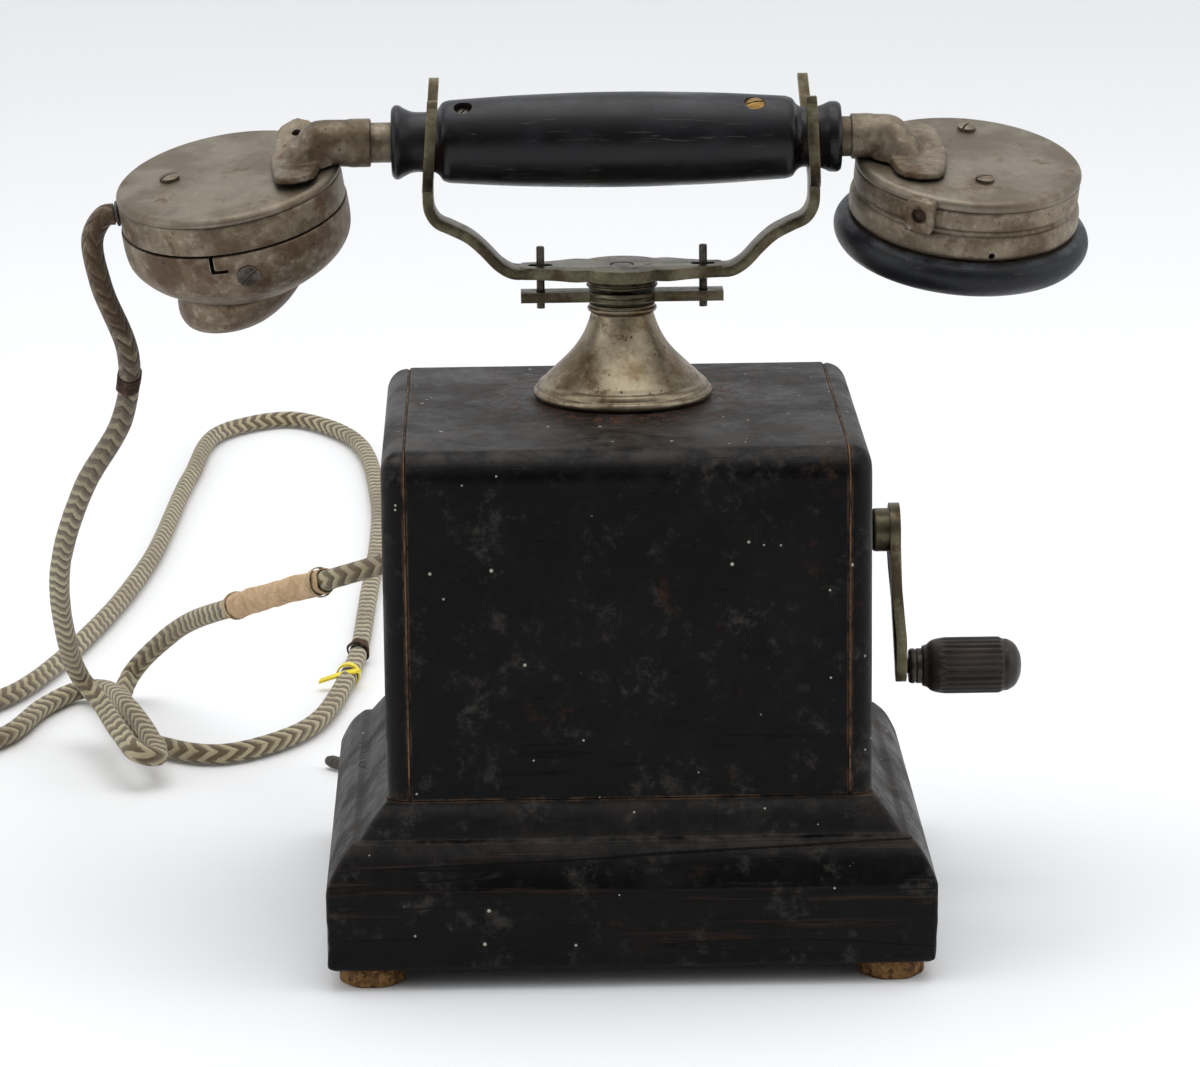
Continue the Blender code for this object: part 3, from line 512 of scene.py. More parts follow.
WOOD_TOP = wood_paint("case_black_wood", (0.05, 1.0, 1.0), 1.0, 0.6)
WOOD_SIDE = wood_paint("side_black_wood", (1.0, 0.05, 1.0), 0.8, 0.5)
WOOD_BASE = wood_paint("base_black_wood", (0.05, 0.4, 1.0), 0.9, 0.9, cracks=0.4)
GROOVE = plain_paint("groove_wood", (128, 96, 70), (44, 32, 26), 0.0, (0.6, 0.85), 420.0)
EBONITE = ebonite_paint("ebonite", (20, 20, 22), (60, 61, 65))
EAR_EBONITE = ebonite_paint("ear_cap_ebonite", (22, 23, 26), (104, 108, 116), (70, 56, 44), (0.30, 0.55))
# Metals: base, dark stain, pale bloom and rust; then how metallic, how rough, how pitted and how coarse
NICKEL = metal_paint("pillar_nickel", (150, 138, 116), (108, 92, 68), (182, 172, 150), (84, 58, 34),
                     0.8, (0.34, 0.56), 1.0, 0.8)
BRONZE = metal_paint("cradle_bronze", (104, 98, 78), (70, 62, 48), (138, 130, 108), (84, 56, 38),
                     0.8, (0.34, 0.56), 0.4, 0.7)
SHELL = metal_paint("capsule_metal", (126, 115, 98), (86, 72, 56), (172, 162, 146), (88, 62, 42),
                    0.62, (0.44, 0.68), 0.6)
LID = metal_paint("capsule_lid_metal", (128, 119, 104), (106, 95, 80), (146, 138, 124), (96, 76, 58),
                  0.66, (0.42, 0.58), 0.25, 1.2, 0.06)
COVER = metal_paint("cover_metal", (120, 106, 88), (84, 66, 50), (186, 178, 164), (80, 54, 36),
                    0.55, (0.46, 0.72), 0.8, 1.1, 0.25)
STEEL = metal_paint("dark_steel", (92, 86, 78), (54, 48, 42), (130, 122, 110), (86, 56, 38),
                    0.8, (0.36, 0.6), 0.4, 0.5)
BRASS = metal_paint("old_brass", (150, 118, 66), (104, 78, 42), (190, 164, 110), (92, 62, 34),
                    0.9, (0.3, 0.5), 0.3, 0.6)
# Its hollow tint is darker than its base: grime with a painted shade in the flutes and recesses
KNOB_WOOD = ebonite_paint("knob_wood", (46, 40, 36), (92, 84, 76), (30, 24, 20), (0.34, 0.55))
BRAID = cord_paint("cord_braid_cotton", (196, 184, 148), (112, 98, 74), (116, 98, 76), 5.2)
LEAD_BRAID = cord_paint("line_cord_cotton", (96, 88, 66), (52, 46, 34), (44, 38, 30), 2.2)
CORK = cork_paint("cork")
PAPER = plain_paint("kraft_paper", (204, 174, 138), (176, 144, 108), 0.0, (0.7, 0.9), 900.0,
                    (1.0, 0.2, 1.0), 0.05)
THREAD = plain_paint("thread", (206, 186, 150), (150, 128, 96), 0.0, (0.8, 0.95), 1500.0)
YELLOW = plain_paint("yellow_tie", (246, 226, 60), (226, 200, 40), 0.0, (0.35, 0.5), 500.0)
DARK_BIND = plain_paint("dark_binding", (86, 62, 46), (36, 28, 24), 0.0, (0.8, 0.95), 1200.0)
INNER_WOOD = plain_paint("bare_wood", (158, 120, 82), (116, 82, 52), 0.0, (0.6, 0.85), 500.0,
                         (0.06, 1.0, 1.0))
INNER_IRON = plain_paint("inner_iron", (96, 96, 98), (58, 56, 54), 0.85, (0.4, 0.65), 400.0)
WINDING = plain_paint("winding", (140, 78, 44), (96, 48, 26), 0.6, (0.35, 0.55), 1600.0,
                      (1.0, 1.0, 0.1), 0.08)


# ---------------------------------------------------------------- camera, light and cords


def add_camera():
    yaw, pitch, roll = -0.0185, 0.2425, -0.0107
    forward = Vector((-math.sin(yaw) * math.cos(pitch), math.cos(yaw) * math.cos(pitch), -math.sin(pitch)))
    right = Vector((math.cos(yaw), math.sin(yaw), 0.0))
    up = right.cross(forward)
    right, up = (math.cos(roll) * right + math.sin(roll) * up,
                 math.cos(roll) * up - math.sin(roll) * right)
    data = bpy.data.cameras.new("camera")
    data.lens = 152.5
    data.sensor_width = 36.0
    data.clip_end = 50.0
    camera = bpy.data.objects.new("camera", data)
    place = Matrix((right, up, -forward)).transposed().to_4x4()
    place.translation = Vector((-30.87 + SHIFT_X, -1336.8, 435.87)) * MM
    camera.matrix_world = place
    bpy.context.scene.collection.objects.link(camera)
    bpy.context.scene.camera = camera


def add_light(name, place, target, size, power, colour=(1.0, 1.0, 1.0)):
    data = bpy.data.lights.new(name, "AREA")
    data.shape = "RECTANGLE"
    data.size, data.size_y = size
    data.energy = power
    data.color = colour
    lamp = bpy.data.objects.new(name, data)
    lamp.location = place
    lamp.rotation_euler = (Vector(target) - Vector(place)).to_track_quat("-Z", "Y").to_euler()
    bpy.context.scene.collection.objects.link(lamp)


def add_stage():
    bpy.context.scene.view_settings.view_transform = "Standard"
    world = bpy.data.worlds.new("studio")
    bpy.context.scene.world = world
    world.use_nodes = True
    nodes, links = world.node_tree.nodes, world.node_tree.links
    direction = nodes.new("ShaderNodeSeparateXYZ")
    links.new(nodes.new("ShaderNodeTexCoord").outputs["Generated"], direction.inputs[0])
    # The room behind the camera is darker than the white sweep behind the telephone
    front = nodes.new("ShaderNodeMapRange")
    front.interpolation_type = "SMOOTHSTEP"
    links.new(direction.outputs[1], front.inputs[0])
    for i, value in ((1, -0.97), (2, -0.50), (3, 0.06), (4, 0.86)):
        front.inputs[i].default_value = value
    links.new(front.outputs[0], nodes["Background"].inputs["Strength"])
    nodes["Background"].inputs["Color"].default_value = (0.965, 0.98, 1.0, 1.0)
    floor = mesh_object("floor", block((-6000, -6000, -12), (6000, 6000, 0)))
    p = Paint("floor_paint", Specular_IOR_Level=0.1)
    tone = p.noise(3.0, 3.0, 0.5)
    colour = p.mix(tone, rgb(246, 246, 247), rgb(249, 249, 249))
    floor.data.materials.append(p.finish(colour, p.range(tone, 0.0, 1.0, 0.6, 0.7)))
    add_light("top", (0.05, 0.15, 1.5), (0.0, 0.05, 0.1), (1.5, 1.2), 9.5)
    add_light("left", (-1.5, -0.5, 0.8), (0.0, 0.0, 0.1), (0.9, 1.0), 3.6, (0.93, 0.97, 1.0))
    add_light("right", (1.5, -0.3, 0.7), (0.0, 0.0, 0.12), (0.9, 1.0), 3.2, (0.95, 0.98, 1.0))


# The same routes as the model's cords, in millimetres before the shift along X
HANDSET_CORD = [
    (-135.9, 19.4, 191.3), (-138.7, 19.4, 190.8), (-142.1, 19.1, 185.0), (-140.5, 20.6, 172.0),
    (-134.4, 29.0, 151.0), (-137.4, 44.0, 130.0), (-151.0, 69.0, 104.0), (-161.8, 104.0, 72.0),
    (-164.4, 142.0, 41.0), (-162.4, 166.0, 21.0), (-156.4, 160.0, 15.2), (-148.4, 132.0, 13.4),
    (-141.6, 115.6, 11.4), (-136.8, 119.0, 9.4), (-139.6, 138.0, 9.4), (-148.6, 170.0, 10.4),
    (-157.6, 201.0, 7.4), (-167.0, 214.0, 3.8), (-176.5, 198.0, 3.4), (-186.0, 165.0, 3.4),
    (-197.0, 152.0, 3.4), (-207.0, 165.0, 3.4), (-201.0, 188.0, 3.4), (-185.0, 220.0, 3.4),
    (-168.0, 292.0, 3.4), (-156.0, 380.0, 3.4), (-149.0, 510.0, 3.4), (-140.0, 586.0, 3.4),
    (-116.0, 605.0, 3.4), (-92.0, 574.0, 3.4), (-78.4, 470.0, 3.4), (-78.6, 324.0, 3.4),
    (-82.6, 226.0, 3.4), (-96.0, 163.0, 3.4), (-120.0, 141.0, 3.4), (-142.0, 156.0, 3.4),
    (-152.2, 188.0, 3.6), (-150.6, 214.0, 8.8), (-136.0, 198.0, 26.4), (-113.4, 145.0, 48.5),
    (-87.0, 98.0, 67.3), (-54.0, 74.0, 82.0), (-40.0, 66.0, 86.0), (-40.0, 61.2, 86.0),
]
LINE_CORD = [
    (-30.0, 75.6, 15.0), (-30.2, 82.0, 12.6), (-33.0, 92.0, 5.6), (-42.0, 104.0, 2.3),
    (-56.0, 112.0, 2.3), (-70.0, 121.0, 2.3), (-86.4, 136.0, 2.3),
]


def cord_path(route, steps):
    return [p + Vector((SHIFT_X, 0, 0)) for p in smooth_route(route, steps)]


def length_of(path):
    return sum((b - a).length for a, b in zip(path, path[1:]))


def cord_tube(name, path, radius, paint, sides=16):
    """A tube with U round it and V along it in metres, so that the braid keeps its size."""
    rings, normal, run = [], Vector((0, 1, 0)), [0.0]
    for i, p in enumerate(path):
        along = (path[min(i + 1, len(path) - 1)] - path[max(i - 1, 0)]).normalized()
        normal = (normal - along * normal.dot(along)).normalized()
        across = along.cross(normal)
        r = radius * (0.965 + 0.03 * noise.noise(p / 9.0))
        ends = 0.72 if i in (0, len(path) - 1) else 1.0
        rings.append([p + (across * math.cos(a) + normal * math.sin(a)) * r * ends
                      for a in [2 * math.pi * k / sides for k in range(sides)]])
        if i:
            run.append(run[-1] + (p - path[i - 1]).length)
    bm = bmesh.new()
    loops = [[bm.verts.new(p) for p in ring] for ring in rings]
    layer = bm.loops.layers.uv.new("UVMap")
    for n, (a, b) in enumerate(zip(loops, loops[1:])):
        for k in range(sides):
            j = (k + 1) % sides
            face = bm.faces.new((a[k], a[j], b[j], b[k]))
            for loop, (u, v) in zip(face.loops, ((k, n), (k + 1, n), (k + 1, n + 1), (k, n + 1))):
                loop[layer].uv = (u / sides, run[v] * MM)
    bm.faces.new(loops[0])
    bm.faces.new(list(reversed(loops[-1])))
    obj = mesh_object(name, bm)
    obj.data.materials.append(paint)
    obj.data.shade_smooth()
    return obj


def lay_cord(cord, path, node, **facts):
    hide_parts(node)
    metres = [p * MM for p in path]
    tuple(metres[0])
    round(length_of(metres), 3)
    [tuple(p) for p in metres]


def add_cords():
    path = cord_path(HANDSET_CORD, 14)
    cord = cord_tube("handset_cord_braid", path, 3.1, BRAID)
    extras = cord_extras(path)
    hang(cord)
    lay_cord(cord, path, "handset_cord", diameter=0.0062, far_end="object", stiffness="limp",
             with_pieces=extras)
    path = cord_path(LINE_CORD, 12)
    lead = cord_tube("line_cord_braid", path, 1.95, LEAD_BRAID)
    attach(lead, "base")
    lay_cord(lead, path, "line_cord", diameter=0.0039, far_end="bare", stiffness="medium")


def nearest(path, place):
    """How far along a path, in mm, its nearest point to a place is."""
    i = min(range(len(path)), key=lambda n: (path[n] - Vector(place)).length)
    return length_of(path[:i + 1])


def stretch_of(path, start, end, count):
    """The part of a path between two distances along it, as evenly spaced points."""
    run, points = 0.0, []
    for a, b in zip(path, path[1:]):
        step = (b - a).length
        while len(points) <= count and run + step >= start + (end - start) * len(points) / count - 1e-6:
            points.append(a.lerp(b, (start + (end - start) * len(points) / count - run) / step))
        run += step
    return points


def wrap(name, path, radius, thickness, paint, ripple=0.0, sides=28, body="base"):
    """A sleeve round a stretch of cord. With no body, it is not attached to any body."""
    normal = Vector((0, 0, 1))
    frames = []
    for i, p in enumerate(path):
        along = (path[min(i + 1, len(path) - 1)] - path[max(i - 1, 0)]).normalized()
        normal = (normal - along * normal.dot(along)).normalized()
        frames.append((p, along.cross(normal), normal))

    def ring(frame_at, r):
        p, across, up = frame_at
        points = []
        for k in range(sides):
            a = 2 * math.pi * k / sides
            swell = r + ripple * noise.noise(Vector((p.y / 7.0, math.cos(a) * 1.6, math.sin(a) * 1.6)))
            points.append(p + (across * math.cos(a) + up * math.sin(a)) * swell)
        return points

    rings = [ring(f, radius + thickness) for f in frames] + [ring(f, radius) for f in reversed(frames)]
    obj = mesh_object(name, loft(rings, closed=True))
    return finish_piece(obj, body, paint, "cord_braid", sharp=50)


def hang(obj):
    """Moves the object's placement into its mesh."""
    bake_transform(obj)


def cord_extras(path):
    """The paper sleeve with its threads, the dark mends and the yellow tie."""
    low = nearest(path, (-119.5 + SHIFT_X, 161.0, 43.0)) + 17.0
    high = nearest(path, (-88.0 + SHIFT_X, 99.5, 66.6)) + 8.0
    low, high = min(low, high), max(low, high)
    extras = [wrap("paper_sleeve", stretch_of(path, low, high, 40), 3.45, 0.35, PAPER, 0.55)]
    for n, (place, r) in enumerate(((low + 1.5, 4.0), (high - 3.5, 4.2))):
        turns = stretch_of(path, place, place + 1.4, 3)
        extras.append(wrap(f"sleeve_thread_{n}", turns, r, 0.3, THREAD, 0.1, 20))
    mend = nearest(path, (-133.6 + SHIFT_X, 35.0, 141.0))
    bound = stretch_of(path, mend - 2.6, mend + 2.4, 8)
    extras.append(wrap("cord_mend", bound, 3.0, 0.5, DARK_BIND, 0.9, body=None))
    hang(extras[-1])
    tie = nearest(path, (-79.7 + SHIFT_X, 225.0, 12.0))
    dark = [p + Vector((0, 0, 0.9)) for p in stretch_of(path, tie - 31.0, tie - 26.0, 6)]
    extras.append(wrap("cord_mend_dark", dark, 3.0, 0.5, DARK_BIND, 0.8))
    band = [p + Vector((0, 0, 0.7)) for p in stretch_of(path, tie - 1.3, tie + 1.3, 4)]
    extras.append(wrap("yellow_tie_loop", band, 3.25, 0.6, YELLOW, 0.0))
    steps = ((3.4, -2.4, 2.2), (0.6, -4.2, 2.0), (-3.0, -4.6, 1.2), (-6.0, -4.2, 0.2),
             (-9.0, -3.4, -1.0))
    tail = smooth_route([band[2] + Vector(step) for step in steps], 6)
    section = rounded([(-1.5, -0.4, 0.2), (1.5, -0.4, 0.2), (1.5, 0.4, 0.2), (-1.5, 0.4, 0.2)])
    extras.append(piece("yellow_tie_tail", sweep(tail, section), "base", YELLOW, "cord_braid"))
    return extras


# ---------------------------------------------------------------- base and case


def screw(name, place, body, paint, radius=2.4, height=1.1, slot_angle=20.0, slot="iron", domed=True):
    """A slotted screw head that stands on the plane z = 0 of its place."""
    dome = [(0, height), (radius, height)]
    if domed:
        dome = arc(0, height - radius * 1.9, radius * 1.9, 90, 62, 6)
    scale = radius / max(dome[-1][0], 0.01)
    rim = min(height * 0.35, dome[-1][1] * 0.9)
    outline = [(0, -0.5), (radius, -0.5), (radius, rim)] + [(r * scale, h) for r, h in reversed(dome)]
    obj = mesh_object(name, turned(outline, "Z", 40), place)
    groove = block((-radius * 1.4, -0.3, height * 0.35), (radius * 1.4, 0.3, height * 2))
    combine(obj, [moved(groove, turn(slot_angle, "Z"))], "DIFFERENCE", place)
    return finish_piece(obj, body, paint, slot, sharp=30)


def rectangle(half_x, half_y, z, radius, cells):
    """A ring round the middle with rounded corners and its sides cut into cells."""
    points = []
    for i, (sx, sy) in enumerate(((1, -1), (1, 1), (-1, 1), (-1, -1))):
        cx, cy = sx * (half_x - radius), sy * (half_y - radius)
        points += [(x, y, z) for x, y in arc(cx, cy, radius, -90 + 90 * i, 90 * i, 4)]
        nx, ny = ((1, 1), (-1, 1), (-1, -1), (1, -1))[i]
        inset_x, inset_y = (0, radius) if i % 2 == 0 else (radius, 0)
        end = Vector((nx * (half_x - inset_x), ny * (half_y - inset_y), z))
        start = Vector(points[-1])
        points += [tuple(start.lerp(end, k / cells)) for k in range(1, cells)]
    return points


def add_base():
    moulding = rounded([(1.4, 5.5), (0.0, 6.4, 0.9), (0.0, 27.2, 0.8), (1.4, 30.6, 2.0), (3.6, 34.8, 2.0),
                        (6.4, 37.7, 0.8), (7.0, 38.3, 0.4), (8.9, 38.6, 0.4), (10.8, 41.2, 1.6),
                        (13.2, 44.4, 1.6), (15.3, 46.4, 0.6), (15.7, 47.0)], False, 3)
    dense = []
    for a, b in zip(moulding, moulding[1:]):
        count = max(1, round((Vector(b) - Vector(a)).length / 2.4))
        dense += [tuple(Vector(a).lerp(Vector(b), k / count)) for k in range(count)]
    dense.append(moulding[-1])
    rings = [rectangle(80 - s, 72 - s, z, 1.3, 44) for s, z in dense]
    rings += [rectangle(57, 49, 47.0, 0.6, 44), rectangle(57, 49, 5.5, 0.6, 44)]
    plinth = mesh_object("plinth_moulding", loft(rings, closed=True), BASE)
    chip_edges(plinth)
    finish_piece(plinth, "base", WOOD_BASE, "black_wood", ("base_plinth",), sharp=30)
    for name in ("front_left", "front_right", "rear_left", "rear_right"):
        low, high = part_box(f"cork_foot_{name}")
        centre = (low + high) / 2 / MM
        outline = rounded([(0, 0), (9.0, 0, 1.0), (9.0, 5.2, 0.5), (0, 5.2)], True, 3)
        uneven = lambda r, h, a: r - 0.35 * (1 + math.sin(7 * a) * 0.5)
        foot = mesh_object(f"foot_{name}", turned(outline, "Z", 64, uneven), at(centre.x, centre.y, 0))
        finish_piece(foot, "base", CORK, "cork", (f"cork_foot_{name}",), sharp=30)


def chip_edges(obj):
    """Small dents and lost slivers along the plinth's lower edge and its upright corners."""
    for v in obj.data.vertices:
        x, y, z = v.co / MM - Vector((SHIFT_X, 0, 0))
        n = noise.fractal(Vector((x, y, z)) / 11.0, 1.0, 2.0, 4)
        near_foot = max(0.0, 1.0 - (z - 5.5) / 4.0)
        corner = max(0.0, 1.0 - (80 - abs(x)) / 4.0) * max(0.0, 1.0 - (72 - abs(y)) / 4.0)
        depth = 0.06 * max(n, 0.0) + (0.7 * near_foot + 1.1 * corner) * max(0.0, n - 0.12)
        out = Vector((v.normal.x, v.normal.y, 0.0))
        if abs(x) > 58 or abs(y) > 50:
            v.co -= out * depth * MM


def side_outline(inset):
    front, back = -56 + inset, 56 - inset
    top, r = 140 - inset, max(8.0 - inset, 2.0)
    return [(back, 47.3), *arc(back - 2, top - 2, 2.0, 0, 90, 4),
            *arc(front + r, top - r, r, 90, 180, 14), (front, 47.3)]


def add_case():
    inner = 58.0
    for name, side in (("left", -1), ("right", 1)):
        # The outer edge is a quarter round, then a small bead beside the front board
        turns = [math.radians(a) for a in range(0, 91, 9)]
        profile = [(0.0, 0.45), (0.35, 0.0)]
        profile += [(0.6 + 5.4 * math.sin(a), 5.4 * (1 - math.cos(a))) for a in turns]
        rings = [[(side * (inner + out), y, z) for y, z in side_outline(inset)] for out, inset in profile]
        board = mesh_object(f"side_board_{name}", loft(rings), BASE)
        if side > 0:
            combine(board, [moved(rod(7.0, 50, 70, "X", 40), at(0, 0, 105))], "DIFFERENCE", BASE)
        finish_piece(board, "base", WOOD_SIDE, "black_wood", (f"case_side_{name}",), sharp=30)
    wrap_line = [(-56, 47.3), (-56, 90), *arc(-48, 132, 8, 180, 90, 16), (0, 140), (56, 140, 0.6), (56, 134),
                 *arc(-48, 132, 2, 90, 180, 4), (-50, 47.3)]
    outline = rounded(wrap_line)
    half = 57.85
    steps = [(-half, 0.5), (-half + 0.5, 0.0)]
    steps += [(-half + 0.5 + (2 * half - 1) * i / 24, 0.0) for i in range(1, 24)]
    steps += [(half - 0.5, 0.0), (half, 0.5)]
    rings = [[(x, y + inset, z - inset) if z > 52 or y < -49 else (x, y, z) for y, z in outline]
             for x, inset in steps]
    cover = mesh_object("front_and_top_board", loft(rings), BASE)
    combine(cover, [rod(5.0, 130, 144, "Z", 32)], "DIFFERENCE", PILLAR)
    finish_piece(cover, "base", WOOD_TOP, "black_wood", ("case_front_top",), sharp=30)
    panel = block((-half + 0.3, 50.0, 47.6), (half - 0.3, 55.8, 133.5))
    back = mesh_object("back_board", panel, BASE)
    combine(back, [moved(rod(5.3, 45, 60, "Y", 32), at(-40, 0, 86))], "DIFFERENCE", BASE)
    finish_piece(back, "base", WOOD_TOP, "black_wood", ("case_back",), bevel=0.8)
    for n, (x, z) in enumerate(((-52, 53), (52, 53), (-52, 128), (52, 128))):
        place = BASE @ at(x, 55.6, z) @ turn(-90, "X")
        screw(f"back_screw_{n}", place, "base", BRASS, 2.6, 0.8, 35 + 40 * n, "brass")
    for side in (-1, 1):
        # Bare wood shows along the joints between the boards
        line = [(-56.0, 48.0), (-56.0, 90.0), *arc(-48, 132, 8.0, 180, 90, 16), (0, 140.0), (53.0, 140.0)]
        path = [Vector((side * 58.0, y + 0.42, z - 0.42 if z > 131 else z)) for y, z in line]
        strand = [(0.32 * math.cos(a), 0.32 * math.sin(a)) for a in [math.pi * k / 4 for k in range(8)]]
        line = sweep(path, strand, Vector((0, -1, 0)))
        piece(f"joint_line_{side + 1}", line, "base", GROOVE, "inner_wood", BASE)
    bush = rounded([(3.4, 57.0), (6.7, 57.0), (6.7, 64.3), (8.6, 64.3, 0.3), (8.6, 67.2, 0.8), (3.4, 67.2)])
    piece("crank_bush_ring", turned(bush, "X", 64), "base", BRONZE, "brass", CRANK, ("crank_bush",))
    gland = rounded([(3.5, 51.5), (5.0, 51.5), (5.0, 56.3), (7.2, 56.3, 0.3), (7.2, 57.6, 0.5),
                     (5.4, 60.4, 0.6), (3.5, 60.4)])
    piece("cord_gland_bush", turned(gland, "Y", 48), "base", EBONITE, "ebonite",
          BASE @ at(-40, 0, 86), ("cord_gland",))
    gland = rounded([(2.2, 72.3), (3.9, 72.3), (3.9, 73.4, 0.3), (3.0, 75.0, 0.4), (2.2, 75.0)])
    piece("line_cord_bush", turned(gland, "Y", 40), "base", EBONITE, "ebonite",
          BASE @ at(-30, 0, 15), ("line_cord_gland",))


# ---------------------------------------------------------------- pillar, cradle and crank


def add_pillar():
    profile = rounded([(20.0, 140.3), (23.6, 140.3, 0.4), (24.5, 141.2, 0.7), (24.2, 142.5, 0.7),
                       (23.3, 142.9, 0.25), (23.2, 143.5, 0.3), (22.8, 144.3, 0.5), (21.7, 144.8, 0.3),
                       (20.9, 145.9, 0.5), (17.6, 149.0, 3.0), (14.6, 151.9, 3.0), (12.2, 154.7, 3.0),
                       (10.3, 158.0, 3.0), (9.0, 161.4, 2.0), (8.4, 163.6, 0.6), (9.3, 164.0, 0.4),
                       (9.5, 164.9, 0.5), (8.6, 165.3, 0.2), (9.0, 165.9, 0.3), (3.4, 165.9),
                       (3.4, 158.5), (12.0, 149.6), (18.0, 144.0)])
    dents = lambda r, h, a: r * (1 + 0.006 * noise.noise(Vector((math.cos(a) * 3, math.sin(a) * 3, h / 6))))
    piece("pillar_foot", turned(profile, "Z", 128, dents), "base", NICKEL, "nickel", PILLAR,
          ("pillar_bell",), sharp=50)
    collar = rounded([(3.4, 166.2), (9.2, 166.2, 0.5), (9.7, 167.2, 0.5), (9.1, 167.9, 0.3),
                      (9.6, 168.5, 0.4), (9.3, 169.6, 0.4), (3.4, 169.6)])
    bar = mesh_object("guide_plate", turned(collar, "Z", 64), PILLAR)
    arms = [block((low, -3.4, 166.6), (high, 3.4, 169.3)) for low, high in ((-27.4, -8), (8, 27.4))]
    combine(bar, arms, "UNION", PILLAR)
    holes = [moved(rod(1.4, 164, 172, "Z", 24), at(side * 22)) for side in (-1, 1)]
    combine(bar, holes, "DIFFERENCE", PILLAR)
    finish_piece(bar, "base", BRONZE, "bronze", ("guide_bar",), bevel=0.25)
    for name, side in (("left", -1), ("right", 1)):
        pin = rounded([(0, 164.6), (1.1, 164.6), (1.1, 181.6, 0.45), (0, 181.6)])
        piece(f"pin_{name}", turned(pin, "Z", 28), "base", STEEL, "bronze", PILLAR @ at(side * 22.0),
              (f"guide_pin_{name}",))


def fork_bar(side):
    """One half of the cradle: the flat strip with its S-bend, and the fork on top of it."""
    arm = smooth_route([(-20.0, 0, 174.75), (-25.5, 0, 174.7), (-29.6, 0, 174.9), (-33.2, 0, 177.0),
                        (-37.2, 0, 181.2), (-41.2, 0, 184.7), (-46.0, 0, 187.2), (-49.6, 0, 189.0),
                        (-51.6, 0, 192.2), (-52.0, 0, 197.0), (-51.8, 0, 202.4)], 5)
    section = rounded([(-4.6, -1.5, 0.6), (4.6, -1.5, 0.6), (4.6, 1.5, 0.6), (-4.6, 1.5, 0.6)], True, 2)
    strip = sweep(arm, section)
    inner = smooth_route([(0, -8.9, 0), (3.8, -8.0, 0), (6.9, -5.6, 0), (8.9, -2.2, 0), (10.0, 1.2, 0),
                          (12.6, 6.2, 0), (16.2, 10.6, 0), (18.4, 13.4, 0)], 3)
    outer = smooth_route([(21.4, 12.4, 0), (19.6, 7.4, 0), (16.6, 2.0, 0), (13.9, -3.6, 0), (10.9, -8.6, 0),
                          (6.6, -12.2, 0), (0, -13.8, 0)], 3)
    half = [(p.x, p.y) for p in inner] + [(19.2, 14.2), (20.6, 14.2)] + [(p.x, p.y) for p in outer[:-1]]
    outline = [(y, 210.5 + z) for y, z in half] + [(-y, 210.5 + z) for y, z in reversed(half[1:])]
    fork = prism(outline, -51.6 - 1.4, -51.6 + 1.4, "X")
    lean = Matrix(((1, 0, 0.075, -0.075 * 205.0), (0, 1, 0, 0), (0, 0, 1, 0), (0, 0, 0, 1)))
    moved(fork, lean)
    if side > 0:
        moved(strip, Matrix.Diagonal((-1, 1, 1, 1)))
        moved(fork, Matrix.Diagonal((-1, 1, 1, 1)))
    return strip, fork


def add_cradle():
    half = [(27.0, -4.0), (24.0, -4.6), (18.0, -6.4), (12.5, -9.0), *arc(0, 0, 12.2, 316, 270, 6)]
    outline = half[:-1] + [(-x, y) for x, y in reversed(half)]
    outline += [(-x, -y) for x, y in outline]
    path = smooth_route([(x, y, 0) for x, y in outline] + [(*outline[0], 0)], 3)[:-1]
    yoke = mesh_object("cradle_bar", prism([(p.x, p.y) for p in path], 173.2, 176.4, "Z"), PILLAR)
    collar = rounded([(0, 170.3), (9.2, 170.3, 0.4), (9.8, 171.0, 0.4), (9.2, 171.6, 0.3),
                      (9.9, 172.4, 0.5), (9.9, 174.0), (0, 174.0)])
    combine(yoke, [turned(collar, "Z", 64)], "UNION", PILLAR)
    for side in (-1, 1):
        combine(yoke, fork_bar(side), "UNION", PILLAR)
        slot = arc(side * 22 + 1.8, 0, 1.6, -90, 90, 8) + arc(side * 22 - 1.8, 0, 1.6, 90, 270, 8)
        combine(yoke, [prism(slot, 171, 179, "Z")], "DIFFERENCE", PILLAR)
    combine(yoke, [rod(3.3, 165, 180, "Z", 32)], "DIFFERENCE", PILLAR)
    finish_piece(yoke, "cradle", BRONZE, "bronze", ("cradle_yoke",), bevel=0.3)
    button = rounded([(0, 125.6), (3.0, 125.6), (3.0, 176.3, 0.5), (0, 176.5)])
    piece("plunger", turned(button, "Z", 40), "cradle", STEEL, "iron", PILLAR, ("plunger_rod",))


